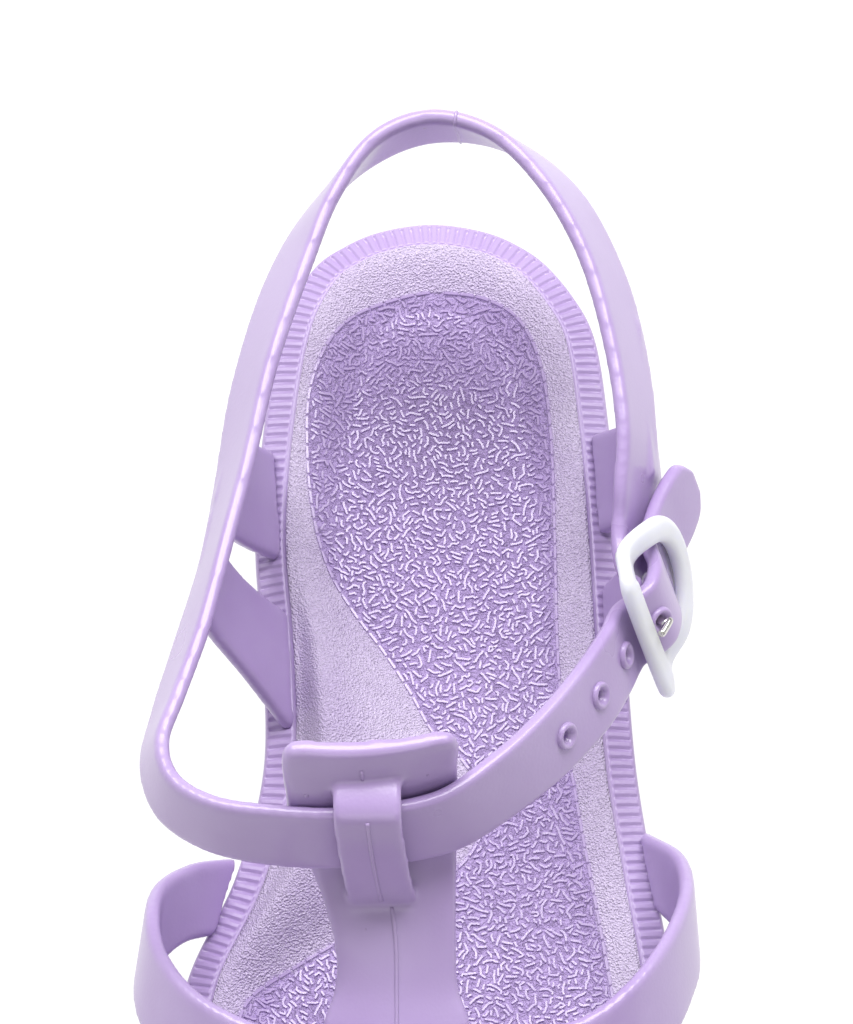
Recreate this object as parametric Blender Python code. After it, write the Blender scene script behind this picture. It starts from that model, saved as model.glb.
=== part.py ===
"""Jelly sandal, left shoe: a ribbed sole with a moulded footbed, a heel band that runs on
into the ankle strap, a T-bar vamp with cross straps, and a plastic buckle with a steel prong.

Metres, +Z up. The tables are read about the middle of the sole, and the finished shoe is
moved sideways by SIDE_SHIFT, so that the origin is on the floor under the middle of its box.
+Y is the heel, -Y the toe, +X the outer (lateral) side.
"""
import math
from collections import namedtuple

import bmesh
import bpy
import numpy as np
from mathutils import Matrix, Vector

# Driving sizes of the shoe
LENGTH = 0.250
BALL_WIDTH = 0.092
HEEL_EDGE_HEIGHT = 0.0125
TOE_SPRING = 0.0075
INSTEP_HEIGHT = 0.074
SEAT_GAP = 0.0003
SIDE_SHIFT = 0.00335
BASE_LIFT = 0.0009

# Sole
RIM_WIDTH = 0.005
RIM_RISE = 0.0016
LIP_WIDTH = 0.0012
LIP_RISE = 0.0010
MARGIN_WIDTH = 0.0055
CUP_DEPTH = 0.0034
ARCH_RISE = 0.0075
RIB_PITCH = 0.00182
RIB_DEPTH = 0.00055
RIB_WRAP = 0.0025
RIB_PLAIN_INNER = 0.0009
SIDE_UNDERCUT = 0.0007
SOLE_CORNER = 0.0022
STATIONS_PER_COLUMN = 8
FOOTBED_COLUMNS = 9
TREAD_PITCH = 0.0085
TREAD_GROOVE_WIDTH = 0.0022
TREAD_GROOVE_DEPTH = 0.0013

# Upper
WALL = 0.0028
STRAP_WIDTH = 0.015
BAND_WIDTH = 0.019
CROSS_WALL = 0.0028
KEEPER_WALL = 0.0022
KEEPER_WIDTH = 0.0121
TONGUE_WIDTH = 0.0302
FINE_STATIONS = 800
LOOP_STEP = 0.0068
BUCKLE_STEP = 0.0024
BUCKLE_REACH = 0.020
STRAP_STATIONS = 20
CROSS_STATIONS = 32
LEG_STATIONS = 9
KEEPER_STATIONS = 11

# Eyelets
EYELET_COUNT = 4
EYELET_PITCH = 0.0106
EYELET_FIRST = 0.0016
EYELET_HOLE = 0.0020
EYELET_RING = 0.0042
EYELET_PROUD = 0.0007

# Buckle
FRAME_FRONT = 0.0100
FRAME_BACK = 0.0172
FRAME_HALF_WIDTH = 0.0150
FRAME_BAR = 0.0034
FRAME_THICK = 0.0026
FRAME_LIFT = 0.0033
FRAME_STATIONS = 30
AXLE_DIAMETER = 0.0012
KNUCKLE_DIAMETER = 0.0040
KNUCKLE_SPAN = 0.0129
PRONG_DIAMETER = 0.0014
PRONG_SLOT = 0.0022
PRONG_STATIONS = 22
PRONG_RISE = 0.0028
SLOT_LENGTH = 0.0058
SLOT_DEPTH = 0.0053
EAR_LENGTH = 0.0036
EAR_WIDTH = 0.0024
EAR_WALL = 0.0008
AXLE_SHORT = 0.0020

# Colours
LILAC = (0.62, 0.50, 0.80, 1.0)
MILKY = (0.86, 0.87, 0.93, 1.0)
STEEL = (0.75, 0.74, 0.72, 1.0)

# Outline of the sole: along is the share of LENGTH from the back of the heel,
# medial and lateral are shares of half the ball width
Outline = namedtuple("Outline", "along medial lateral")
OUTLINE = [
    Outline(0.010, -0.235, 0.215),
    Outline(0.040, -0.520, 0.520),
    Outline(0.090, -0.625, 0.635),
    Outline(0.170, -0.695, 0.690),
    Outline(0.260, -0.724, 0.725),
    Outline(0.350, -0.690, 0.750),
    Outline(0.440, -0.685, 0.785),
    Outline(0.520, -0.790, 0.850),
    Outline(0.600, -0.975, 0.920),
    Outline(0.680, -1.025, 0.955),
    Outline(0.770, -1.005, 0.890),
    Outline(0.860, -0.930, 0.710),
    Outline(0.930, -0.795, 0.440),
    Outline(0.980, -0.560, 0.060),
]
HEEL_TIP_ACROSS = -0.02
TOE_TIP_ACROSS = -0.26

# Side profile of the sole: under is a share of TOE_SPRING, edge of HEEL_EDGE_HEIGHT
Profile = namedtuple("Profile", "along under edge")
PROFILE = [
    Profile(0.00, 0.18, 1.00),
    Profile(0.04, 0.00, 1.00),
    Profile(0.28, 0.00, 0.98),
    Profile(0.36, 0.22, 0.92),
    Profile(0.44, 0.34, 0.84),
    Profile(0.52, 0.14, 0.75),
    Profile(0.58, 0.00, 0.70),
    Profile(0.78, 0.00, 0.68),
    Profile(0.88, 0.25, 0.84),
    Profile(1.00, 1.00, 1.22),
]

# Medial border of the textured zone, which is the foot of the arch rise
Zone = namedtuple("Zone", "along medial")
ZONE = [
    Zone(0.20, -0.52),
    Zone(0.26, -0.48),
    Zone(0.31, -0.34),
    Zone(0.36, -0.15),
    Zone(0.41, -0.03),
    Zone(0.46, 0.06),
    Zone(0.51, 0.02),
    Zone(0.55, -0.22),
    Zone(0.58, -0.45),
    Zone(0.63, -0.74),
]

# Inner top edge of the heel band and ankle strap, from behind the buckle round the heel:
# height is a share of INSTEP_HEIGHT, width of BAND_WIDTH, lean in degrees from upright
Loop = namedtuple("Loop", "along across height width lean")
HEEL_LOOP = [
    Loop(0.300, 0.668, 0.768, 0.88, 21),
    Loop(0.259, 0.680, 0.805, 0.95, 20),
    Loop(0.197, 0.635, 0.832, 1.00, 23),
    Loop(0.127, 0.529, 0.860, 1.00, 26),
    Loop(0.073, 0.362, 0.886, 0.97, 28),
    Loop(0.040, 0.180, 0.903, 0.93, 21),
    Loop(0.029, -0.030, 0.905, 0.92, 13),
    Loop(0.043, -0.215, 0.899, 0.95, 12),
    Loop(0.085, -0.368, 0.880, 0.97, 20),
    Loop(0.133, -0.464, 0.865, 1.00, 26),
    Loop(0.212, -0.602, 0.845, 1.00, 24),
    Loop(0.287, -0.692, 0.826, 0.97, 20),
    Loop(0.344, -0.767, 0.822, 0.92, 17),
    Loop(0.418, -0.859, 0.830, 0.84, 21),
    Loop(0.473, -0.950, 0.852, 0.81, 19),
    Loop(0.511, -1.010, 0.878, 0.79, 14),
    Loop(0.538, -0.970, 0.905, 0.79, 12),
    Loop(0.558, -0.830, 0.940, 0.79, 14),
    Loop(0.569, -0.600, 0.975, 0.79, 18),
    Loop(0.574, -0.387, 1.000, 0.79, 18),
    Loop(0.571, -0.200, 1.000, 0.79, 18),
    Loop(0.560, 0.000, 0.988, 0.79, 20),
    Loop(0.532, 0.180, 0.960, 0.79, 24),
    Loop(0.500, 0.333, 0.920, 0.79, 28),
    Loop(0.458, 0.490, 0.868, 0.79, 30),
]

# Middle of the buckle's axle, and the way that the strap runs through it
BUCKLE_ALONG = 0.381
BUCKLE_ACROSS = 0.785
BUCKLE_HEIGHT = 0.674
BUCKLE_HEADING = 14.5
BUCKLE_RISE = 19.0
BUCKLE_LEAN = 22.0

# Middle of the wall near the axle, in the buckle's own axes: toe_ward, upward and outward
# are lengths in shares of FRAME_FRONT, width a share of STRAP_WIDTH
Pass = namedtuple("Pass", "toe_ward upward outward width")
BAND_END = [
    Pass(-0.14, 0.00, -0.10, 0.86),
    Pass(-0.55, 0.12, -0.33, 0.90),
    Pass(-1.15, 0.40, -0.40, 1.00),
]
STRAP_END = [
    Pass(1.35, 0.05, -0.12, 1.00),
    Pass(1.00, 0.02, -0.10, 1.00),
    Pass(0.72, 0.01, -0.04, 1.00),
    Pass(0.42, 0.00, 0.24, 1.00),
    Pass(0.18, 0.00, 0.39, 1.00),
    Pass(-0.10, 0.00, 0.41, 1.00),
    Pass(-0.45, 0.00, 0.34, 1.00),
    Pass(-0.92, 0.00, 0.11, 1.00),
    Pass(-1.40, 0.00, 0.02, 1.00),
    Pass(-2.05, 0.02, 0.05, 1.00),
    Pass(-2.60, 0.04, 0.14, 0.96),
    Pass(-2.95, 0.06, 0.20, 0.80),
    Pass(-3.12, 0.07, 0.23, 0.46),
]

# Legs of the heel band: across at the back and front edge, along at the back and
# front edge, and height, from the band down to the sole
Leg = namedtuple("Leg", "height back_along back_across front_along front_across")
REAR_LEG_MEDIAL = [
    Leg(0.665, 0.160, -0.668, 0.300, -0.845),
    Leg(0.560, 0.182, -0.755, 0.296, -0.862),
    Leg(0.450, 0.194, -0.795, 0.291, -0.845),
    Leg(0.320, 0.198, -0.765, 0.285, -0.770),
    Leg(0.000, 0.190, -0.672, 0.278, -0.640),
]
FRONT_LEG_MEDIAL = [
    Leg(0.650, 0.300, -0.850, 0.392, -0.940),
    Leg(0.560, 0.306, -0.866, 0.373, -0.925),
    Leg(0.450, 0.309, -0.845, 0.377, -0.870),
    Leg(0.320, 0.313, -0.765, 0.390, -0.745),
    Leg(0.000, 0.319, -0.612, 0.412, -0.585),
]
REAR_LEG_LATERAL = [
    Leg(0.665, 0.150, 0.765, 0.278, 0.815),
    Leg(0.560, 0.170, 0.800, 0.274, 0.850),
    Leg(0.450, 0.180, 0.812, 0.268, 0.850),
    Leg(0.320, 0.184, 0.770, 0.263, 0.785),
    Leg(0.000, 0.176, 0.635, 0.258, 0.662),
]
FRONT_LEG_LATERAL = [
    Leg(0.640, 0.270, 0.808, 0.338, 0.762),
    Leg(0.560, 0.280, 0.842, 0.342, 0.806),
    Leg(0.450, 0.287, 0.840, 0.349, 0.812),
    Leg(0.320, 0.293, 0.780, 0.362, 0.780),
    Leg(0.000, 0.298, 0.672, 0.384, 0.690),
]

# Middle line of the T-bar from the top of the tongue to the toe strap: yaw turns its
# lateral edge towards the heel, in degrees, and bow is its crown as a share of its width
Bar = namedtuple("Bar", "along across height width yaw bow")
T_BAR = [
    Bar(0.5410, -0.255, 1.128, 0.76, 4, 0.065),
    Bar(0.5414, -0.255, 1.122, 0.91, 4, 0.065),
    Bar(0.5432, -0.256, 1.102, 1.00, 5, 0.070),
    Bar(0.5520, -0.250, 1.000, 1.01, 9, 0.095),
    Bar(0.5675, -0.235, 0.840, 0.96, 10, 0.095),
    Bar(0.5800, -0.210, 0.763, 0.88, 8, 0.085),
    Bar(0.6020, -0.185, 0.703, 0.79, 5, 0.075),
    Bar(0.6350, -0.160, 0.652, 0.71, 3, 0.070),
    Bar(0.6640, -0.155, 0.604, 0.72, 0, 0.07),
    Bar(0.6900, -0.155, 0.572, 0.86, 0, 0.06),
    Bar(0.7250, -0.165, 0.528, 0.80, 0, 0.05),
    Bar(0.7800, -0.190, 0.485, 0.60, 0, 0.05),
    Bar(0.8300, -0.215, 0.468, 0.60, 0, 0.04),
    Bar(0.8650, -0.230, 0.450, 0.70, 0, 0.04),
]

# Keeper loop: from the face of the tongue over the ankle strap and into the T-bar
Keeper = namedtuple("Keeper", "along across height")
KEEPER = [
    Keeper(0.5560, -0.262, 1.040),
    Keeper(0.5760, -0.266, 1.040),
    Keeper(0.5870, -0.264, 1.028),
    Keeper(0.5940, -0.258, 0.985),
    Keeper(0.6035, -0.240, 0.885),
    Keeper(0.6096, -0.224, 0.800),
    Keeper(0.6112, -0.214, 0.755),
    Keeper(0.6112, -0.208, 0.715),
]

# Cross straps over the foot, from the medial to the lateral base: the edge towards the
# heel and the edge towards the toe
Cross = namedtuple("Cross", "heel_along heel_across heel_height toe_along toe_across toe_height")
INSTEP_STRAP = [
    Cross(0.508, -0.775, 0.000, 0.568, -0.862, 0.000),
    Cross(0.526, -0.925, 0.250, 0.582, -0.975, 0.190),
    Cross(0.551, -1.035, 0.340, 0.606, -1.075, 0.235),
    Cross(0.582, -1.062, 0.420, 0.628, -1.118, 0.272),
    Cross(0.622, -1.025, 0.493, 0.664, -1.090, 0.335),
    Cross(0.660, -0.895, 0.554, 0.704, -0.960, 0.410),
    Cross(0.690, -0.655, 0.595, 0.740, -0.710, 0.470),
    Cross(0.702, -0.390, 0.610, 0.758, -0.425, 0.500),
    Cross(0.704, -0.150, 0.612, 0.764, -0.160, 0.508),
    Cross(0.700, 0.175, 0.604, 0.760, 0.185, 0.498),
    Cross(0.684, 0.525, 0.588, 0.740, 0.555, 0.470),
    Cross(0.657, 0.695, 0.568, 0.710, 0.745, 0.428),
    Cross(0.625, 0.812, 0.528, 0.672, 0.870, 0.366),
    Cross(0.594, 0.886, 0.474, 0.636, 0.935, 0.294),
    Cross(0.560, 0.928, 0.400, 0.608, 0.962, 0.232),
    Cross(0.522, 0.905, 0.285, 0.576, 0.935, 0.175),
    Cross(0.488, 0.785, 0.000, 0.548, 0.840, 0.000),
]
TOE_STRAP = [
    Cross(0.772, -0.940, 0.000, 0.842, -0.890, 0.000),
    Cross(0.786, -1.090, 0.270, 0.858, -1.045, 0.245),
    Cross(0.812, -1.080, 0.380, 0.882, -1.010, 0.330),
    Cross(0.838, -0.860, 0.455, 0.906, -0.800, 0.395),
    Cross(0.850, -0.540, 0.480, 0.918, -0.510, 0.415),
    Cross(0.848, -0.220, 0.478, 0.914, -0.210, 0.410),
    Cross(0.830, 0.130, 0.455, 0.896, 0.120, 0.390),
    Cross(0.798, 0.480, 0.415, 0.864, 0.470, 0.358),
    Cross(0.758, 0.780, 0.355, 0.824, 0.770, 0.300),
    Cross(0.724, 0.950, 0.270, 0.790, 0.930, 0.235),
    Cross(0.700, 0.880, 0.000, 0.766, 0.825, 0.000),
]


def place(along, across, height=0.0):
    """A point from shares of the shoe's length, half ball width and instep height."""
    return Vector((across * BALL_WIDTH / 2, LENGTH * (0.5 - along), height * INSTEP_HEIGHT))


def smooth_table(rows, column, along):
    """Read one column of a table at along, by a monotone cubic through its rows."""
    xs = np.array([row.along for row in rows])
    ys = np.array([getattr(row, column) for row in rows])
    steps = np.diff(xs)
    slopes = np.diff(ys) / steps
    tangents = np.zeros(len(xs))
    for i in range(1, len(xs) - 1):
        if slopes[i - 1] * slopes[i] > 0:
            tangents[i] = 2.0 / (1.0 / slopes[i - 1] + 1.0 / slopes[i])
    x = min(max(along, xs[0]), xs[-1])
    k = min(int(np.searchsorted(xs, x, side="right")) - 1, len(steps) - 1)
    t = (x - xs[k]) / steps[k]
    rise = (2 * t ** 3 - 3 * t ** 2 + 1) * ys[k] + (3 * t ** 2 - 2 * t ** 3) * ys[k + 1]
    bend = (t ** 3 - 2 * t ** 2 + t) * tangents[k] + (t ** 3 - t ** 2) * tangents[k + 1]
    return float(rise + steps[k] * bend)


def smoothstep(x):
    """Rise smoothly from 0 to 1 as x goes from 0 to 1."""
    x = min(max(x, 0.0), 1.0)
    return x * x * (3 - 2 * x)


def spline(points, count, closed=False):
    """Count points, evenly spaced, on a smooth curve through the given points.

    Rows may have any number of columns. The first three are the ones that are measured.
    """
    rows = [np.array(p, dtype=float) for p in points]
    total = len(rows)
    spans = total if closed else total - 1
    dense = []
    for i in range(spans):
        p1 = rows[i]
        p2 = rows[(i + 1) % total]
        p0 = rows[i - 1] if closed or i > 0 else 2 * p1 - p2
        p3 = rows[(i + 2) % total] if closed or i + 2 < total else 2 * p2 - p1
        d01 = max(np.linalg.norm((p1 - p0)[:3]), 1e-6) ** 0.5
        d12 = max(np.linalg.norm((p2 - p1)[:3]), 1e-6) ** 0.5
        d23 = max(np.linalg.norm((p3 - p2)[:3]), 1e-6) ** 0.5
        m1 = (p2 - p1) + d12 * ((p1 - p0) / d01 - (p2 - p0) / (d01 + d12))
        m2 = (p2 - p1) + d12 * ((p3 - p2) / d23 - (p3 - p1) / (d12 + d23))
        for k in range(24):
            t = k / 24
            dense.append((2 * t ** 3 - 3 * t ** 2 + 1) * p1 + (t ** 3 - 2 * t ** 2 + t) * m1
                         + (3 * t ** 2 - 2 * t ** 3) * p2 + (t ** 3 - t ** 2) * m2)
    dense.append(rows[0] if closed else rows[-1])
    dense = np.array(dense)
    run = np.concatenate([[0], np.cumsum(np.linalg.norm(np.diff(dense[:, :3], axis=0), axis=1))])
    ends = np.linspace(0, run[-1], count + 1)[:-1] if closed else np.linspace(0, run[-1], count)
    return np.stack([np.interp(ends, run, dense[:, c]) for c in range(dense.shape[1])], axis=1)


def material(name, colour, roughness, metallic=0.0):
    """A Principled material."""
    made = bpy.data.materials.new(name)
    made.use_nodes = True
    shader = made.node_tree.nodes["Principled BSDF"]
    shader.inputs["Base Color"].default_value = colour
    shader.inputs["Roughness"].default_value = roughness
    shader.inputs["Metallic"].default_value = metallic
    made.diffuse_color = colour
    return made


def add_object(name, mesh, collection, finish=None):
    """Put a mesh in the scene as an object."""
    made = bpy.data.objects.new(name, mesh)
    collection.objects.link(made)
    if finish:
        mesh.materials.append(finish)
    return made


def mesh_from_bmesh(name, bm):
    """Close a bmesh off: outward normals, triangles, smooth shading."""
    bmesh.ops.recalc_face_normals(bm, faces=bm.faces)
    bmesh.ops.triangulate(bm, faces=bm.faces)
    mesh = bpy.data.meshes.new(name)
    bm.to_mesh(mesh)
    bm.free()
    mesh.shade_smooth()
    mesh.set_sharp_from_angle(angle=math.radians(35))
    return mesh


def combine(target, tool, operation):
    """Apply an exact Boolean to the target and remove the tool."""
    step = target.modifiers.new(operation.lower(), "BOOLEAN")
    step.operation = operation
    step.solver = "EXACT"
    step.object = tool
    graph = bpy.context.evaluated_depsgraph_get()
    mesh = bpy.data.meshes.new_from_object(target.evaluated_get(graph))
    target.modifiers.remove(step)
    old = target.data
    target.data = mesh
    mesh.name = target.name
    bpy.data.meshes.remove(old)
    bpy.data.objects.remove(tool)


def tidy(target):
    """Weld the crumbs that a Boolean leaves and make every face a triangle."""
    bm = bmesh.new()
    bm.from_mesh(target.data)
    bmesh.ops.remove_doubles(bm, verts=bm.verts, dist=0.00002)
    bmesh.ops.dissolve_degenerate(bm, edges=bm.edges, dist=0.00002)
    bmesh.ops.triangulate(bm, faces=bm.faces)
    bm.to_mesh(target.data)
    bm.free()
    target.data.shade_smooth()
    target.data.set_sharp_from_angle(angle=math.radians(35))


# Sole

def outline_points(count):
    """The outer edge of the rim, evenly spaced, from the heel tip down the lateral side."""
    loop = [place(0.0, HEEL_TIP_ACROSS)]
    loop += [place(row.along, row.lateral) for row in OUTLINE]
    loop += [place(1.0, TOE_TIP_ACROSS)]
    loop += [place(row.along, row.medial) for row in reversed(OUTLINE)]
    return spline(loop, count, closed=True)[:, :2]


def outline_normals(points):
    """Unit vectors from the outline into the sole."""
    tangent = np.roll(points, -1, axis=0) - np.roll(points, 1, axis=0)
    tangent /= np.linalg.norm(tangent, axis=1)[:, None]
    return np.stack([tangent[:, 1], -tangent[:, 0]], axis=1)


def along_of(y):
    """The share of the length at a Y."""
    return 0.5 - y / LENGTH


def edge_height(y):
    """Height of the rim's outer top edge."""
    return HEEL_EDGE_HEIGHT * smooth_table(PROFILE, "edge", along_of(y))


def under_height(y):
    """Height of the underside."""
    return TOE_SPRING * smooth_table(PROFILE, "under", along_of(y))


def rim_top(y, inset):
    """Height of the rim at a distance in from its edge."""
    return edge_height(y) + RIM_RISE * min(inset / RIM_WIDTH, 1.0)


def footbed_height(x, y, inset):
    """Height of the footbed: a lip, then a shallow cup, with the arch rise on the medial side."""
    along = along_of(y)
    lip = edge_height(y) + RIM_RISE + LIP_RISE
    start = RIM_WIDTH + LIP_WIDTH
    height = lip - CUP_DEPTH * smoothstep((inset - start) / (2.2 * MARGIN_WIDTH))
    border = smooth_table(ZONE, "medial", along) * BALL_WIDTH / 2
    inner = medial_edge(y) + start
    across = (x - inner) / max(border - inner, 0.001)
    if 0 < across < 1:
        bell = smoothstep((along - 0.27) / 0.16) * (1 - smoothstep((along - 0.50) / 0.13))
        height += ARCH_RISE * bell * smoothstep(across / 0.22) * (1 - smoothstep((across - 0.3) / 0.7))
    return height


def medial_edge(y):
    """X of the sole's medial outline."""
    return smooth_table(OUTLINE, "medial", along_of(y)) * BALL_WIDTH / 2


def ring(bm, points, normals, inset, height_at):
    """A ring of vertices set in from the outline."""
    made = []
    for point, normal in zip(points, normals):
        x, y = point + normal * inset
        made.append(bm.verts.new((x, y, height_at(x, y))))
    return made


def join_rings(bm, fine, coarse):
    """Faces between two rings. The finer ring may have several points to each coarse one."""
    ratio = len(fine) // len(coarse)
    count = len(coarse)
    for i in range(count):
        here = coarse[i]
        there = coarse[(i + 1) % count]
        run = [fine[(i * ratio + k) % len(fine)] for k in range(ratio + 1)]
        half = (ratio + 1) // 2
        for k in range(ratio):
            apex = here if k < half else there
            bm.faces.new((run[k], run[k + 1], apex))
        bm.faces.new((run[half], there, here))


def fill_across(bm, loop, columns, height_at):
    """Fill a ring with rows from its lateral to its medial side."""
    half = len(loop) // 2
    rows = []
    for i in range(1, half):
        lateral = loop[i]
        medial = loop[-i]
        row = [lateral]
        for k in range(1, columns):
            x, y = lateral.co.xy.lerp(medial.co.xy, k / columns)
            row.append(bm.verts.new((x, y, height_at(x, y))))
        row.append(medial)
        rows.append(row)
    for above, below in zip(rows, rows[1:]):
        for k in range(columns):
            bm.faces.new((above[k], above[k + 1], below[k + 1], below[k]))
    for tip, row in ((loop[0], rows[0]), (loop[half], rows[-1])):
        for k in range(columns):
            bm.faces.new((tip, row[k], row[k + 1]))


def build_sole(collection, finish):
    """The moulded sole: ribbed rim, footbed with arch, side and treaded underside."""
    perimeter = np.linalg.norm(np.diff(outline_points(400), axis=0), axis=1).sum()
    columns = 2 * max(int(round(perimeter / RIB_PITCH / STATIONS_PER_COLUMN)), 12)
    ribs = outline_points(columns * STATIONS_PER_COLUMN)
    rib_normals = outline_normals(ribs)
    coarse = ribs[::STATIONS_PER_COLUMN]
    coarse_normals = rib_normals[::STATIONS_PER_COLUMN]
    groove = np.arange(len(ribs)) % 2

    def ribbed(inset, drop, plain=False):
        made = []
        for point, normal, low in zip(ribs, rib_normals, groove):
            cut = 0.0 if plain else RIB_DEPTH * low
            x, y = point + normal * (inset + cut * 0.7)
            made.append(bm.verts.new((x, y, rim_top(y, inset) - drop - cut)))
        return made

    bm = bmesh.new()
    rim_inner = ribbed(RIM_WIDTH - RIB_PLAIN_INNER, 0.0)
    rim_outer = ribbed(0.0, 0.0)
    rim_low = ribbed(0.0, RIB_WRAP)
    welt = ring(bm, coarse, coarse_normals, RIM_WIDTH, lambda x, y: rim_top(y, RIM_WIDTH))
    lip = ring(bm, coarse, coarse_normals, RIM_WIDTH + LIP_WIDTH,
               lambda x, y: footbed_height(x, y, RIM_WIDTH + LIP_WIDTH))
    margin = ring(bm, coarse, coarse_normals, RIM_WIDTH + LIP_WIDTH + MARGIN_WIDTH,
                  lambda x, y: footbed_height(x, y, RIM_WIDTH + LIP_WIDTH + MARGIN_WIDTH))
    side = ring(bm, coarse, coarse_normals, SIDE_UNDERCUT,
                lambda x, y: under_height(y) + SOLE_CORNER)
    under = ring(bm, coarse, coarse_normals, SIDE_UNDERCUT + SOLE_CORNER,
                 lambda x, y: under_height(y))
    join_rings(bm, rim_inner, welt)
    join_rings(bm, welt, lip)
    join_rings(bm, lip, margin)
    join_rings(bm, rim_low, side)
    join_rings(bm, side, under)
    for outer, inner in ((rim_outer, rim_inner), (rim_low, rim_outer)):
        for i in range(len(outer)):
            j = (i + 1) % len(outer)
            bm.faces.new((outer[i], outer[j], inner[j], inner[i]))
    edge = [v.co.xy.copy() for v in bm.verts if v in set(rim_outer)]
    cloud = np.array([(p.x, p.y) for p in edge])

    def bed(x, y):
        inset = float(np.sqrt(((cloud - (x, y)) ** 2).sum(axis=1)).min())
        return footbed_height(x, y, inset)

    fill_across(bm, margin, FOOTBED_COLUMNS, bed)
    fill_across(bm, under, 4, lambda x, y: under_height(y))
    sole = add_object("sole", mesh_from_bmesh("sole", bm), collection, finish)
    combine(sole, tread_cutter(collection), "DIFFERENCE")
    tidy(sole)
    return sole


def tread_cutter(collection):
    """Bars across the heel and the forefoot, which leave flat lugs between them."""
    bm = bmesh.new()
    for start, end in ((0.075, 0.265), (0.600, 0.760)):
        count = int((end - start) * LENGTH / TREAD_PITCH)
        for k in range(count + 1):
            y = LENGTH * (0.5 - start) - k * TREAD_PITCH
            size = Matrix.Diagonal((2 * BALL_WIDTH, TREAD_GROOVE_WIDTH, 2 * TREAD_GROOVE_DEPTH, 1))
            bmesh.ops.create_cube(bm, size=1, matrix=Matrix.Translation((0, y, 0)) @ size)
    mesh = bpy.data.meshes.new("tread_cutter")
    bm.to_mesh(mesh)
    bm.free()
    return add_object("tread_cutter", mesh, collection)


# Straps

def section(width, thick, spans=1, bow=0.0):
    """Corners of a wall's rounded section in (across, through) pairs."""
    radius = 0.42 * thick
    corner = []
    for k in range(3):
        turn = math.radians(45 * k)
        corner.append((math.cos(turn) * radius, math.sin(turn) * radius))
    w = width / 2 - radius
    t = thick / 2 - radius
    right = [(w + dx, t + dy) for dx, dy in corner]
    left = [(-w - dx, t + dy) for dx, dy in reversed(corner)]
    between = [(w - 2 * w * k / spans, thick / 2) for k in range(1, spans)]
    upper = right + between + left
    lower = [(-x, -y) for x, y in upper]
    return [(x, y + bow * (1 - (2 * x / width) ** 2)) for x, y in upper + lower]


def wall(name, upper, lower, thick, collection, finish=None, closed=False, outward=None,
         spans=1, bows=None):
    """A solid wall between two edge lines, with rounded edges.

    With outward, the edge lines are those of the wall's inner face, and that point lies on
    its inner side. A bow crowns each section outwards.
    """
    upper = np.asarray(upper)
    lower = np.asarray(lower)
    middle = (upper + lower) / 2
    if closed:
        tangent = np.roll(middle, -1, axis=0) - np.roll(middle, 1, axis=0)
    else:
        tangent = np.gradient(middle, axis=0)
    across = lower - upper
    width = np.linalg.norm(across, axis=1)
    across /= width[:, None]
    normal = np.cross(tangent, across)
    normal /= np.linalg.norm(normal, axis=1)[:, None]
    if outward is not None:
        if (normal * (middle - outward)).sum() < 0:
            normal = -normal
        middle = middle + normal * thick / 2
    if bows is None:
        bows = np.zeros(len(middle))
    bm = bmesh.new()
    rings = []
    for centre, side, out, wide, bow in zip(middle, across, normal, width, bows):
        points = section(max(wide, 1.02 * thick), thick, spans, bow)
        rings.append([bm.verts.new(centre + side * a + out * b) for a, b in points])
    pairs = list(zip(rings, rings[1:]))
    if closed:
        pairs.append((rings[-1], rings[0]))
    count = len(rings[0])
    for one, two in pairs:
        for k in range(count):
            j = (k + 1) % count
            bm.faces.new((one[k], one[j], two[j], two[k]))
    if not closed:
        bm.faces.new(rings[0])
        bm.faces.new(rings[-1])
    return add_object(name, mesh_from_bmesh(name, bm), collection, finish)


def buckle_axes():
    """The axle's middle, and unit vectors toe-ward along the strap, up across it, and outward."""
    centre = place(BUCKLE_ALONG, BUCKLE_ACROSS, BUCKLE_HEIGHT)
    heading = math.radians(BUCKLE_HEADING)
    rise = math.radians(BUCKLE_RISE)
    lean = math.radians(BUCKLE_LEAN)
    toe_ward = Vector((-math.sin(heading) * math.cos(rise), -math.cos(heading) * math.cos(rise),
                       math.sin(rise)))
    level = Vector((math.cos(heading), -math.sin(heading), 0))
    steep = toe_ward.cross(level)
    if steep.z < 0:
        steep = -steep
    upward = steep * math.cos(lean) - level * math.sin(lean)
    outward = level * math.cos(lean) + steep * math.sin(lean)
    return centre, toe_ward, upward, outward


def buckle_point(toe_ward, upward, outward):
    """A point in the buckle's own axes."""
    centre, a, b, n = buckle_axes()
    return centre + a * toe_ward + b * upward + n * outward


def pass_edges(rows):
    """Upper and lower edges of the wall's middle through the buckle, as table rows."""
    edges = []
    for row in rows:
        half = row.width * STRAP_WIDTH / 2
        a = row.toe_ward * FRAME_FRONT
        n = row.outward * FRAME_FRONT
        b = row.upward * FRAME_FRONT
        upper = buckle_point(a, b + half, n)
        lower = buckle_point(a, b - half, n)
        edges.append(tuple((upper + lower) / 2) + tuple(upper) + tuple(lower))
    return edges


def loop_edges():
    """Upper and lower edges of the middle of the band and strap wall, all the way round."""
    inner = [place(row.along, row.across, row.height) for row in HEEL_LOOP]
    edges = []
    for i, row in enumerate(HEEL_LOOP):
        before = inner[max(i - 1, 0)]
        after = inner[min(i + 1, len(inner) - 1)]
        run = after - before
        out = Vector((run.y, -run.x, 0)).normalized()
        if out.dot(Vector((inner[i].x, inner[i].y - LENGTH * 0.2, 0))) < 0:
            out = -out
        lean = math.radians(row.lean)
        width = row.width * BAND_WIDTH
        face = Vector((out.x * math.cos(lean), out.y * math.cos(lean), math.sin(lean)))
        down = Vector((out.x * math.sin(lean), out.y * math.sin(lean), -math.cos(lean)))
        upper = inner[i] + face * WALL / 2
        lower = upper + down * width
        edges.append(tuple((upper + lower) / 2) + tuple(upper) + tuple(lower))
    return pass_edges(BAND_END) + edges + pass_edges(STRAP_END)


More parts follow.
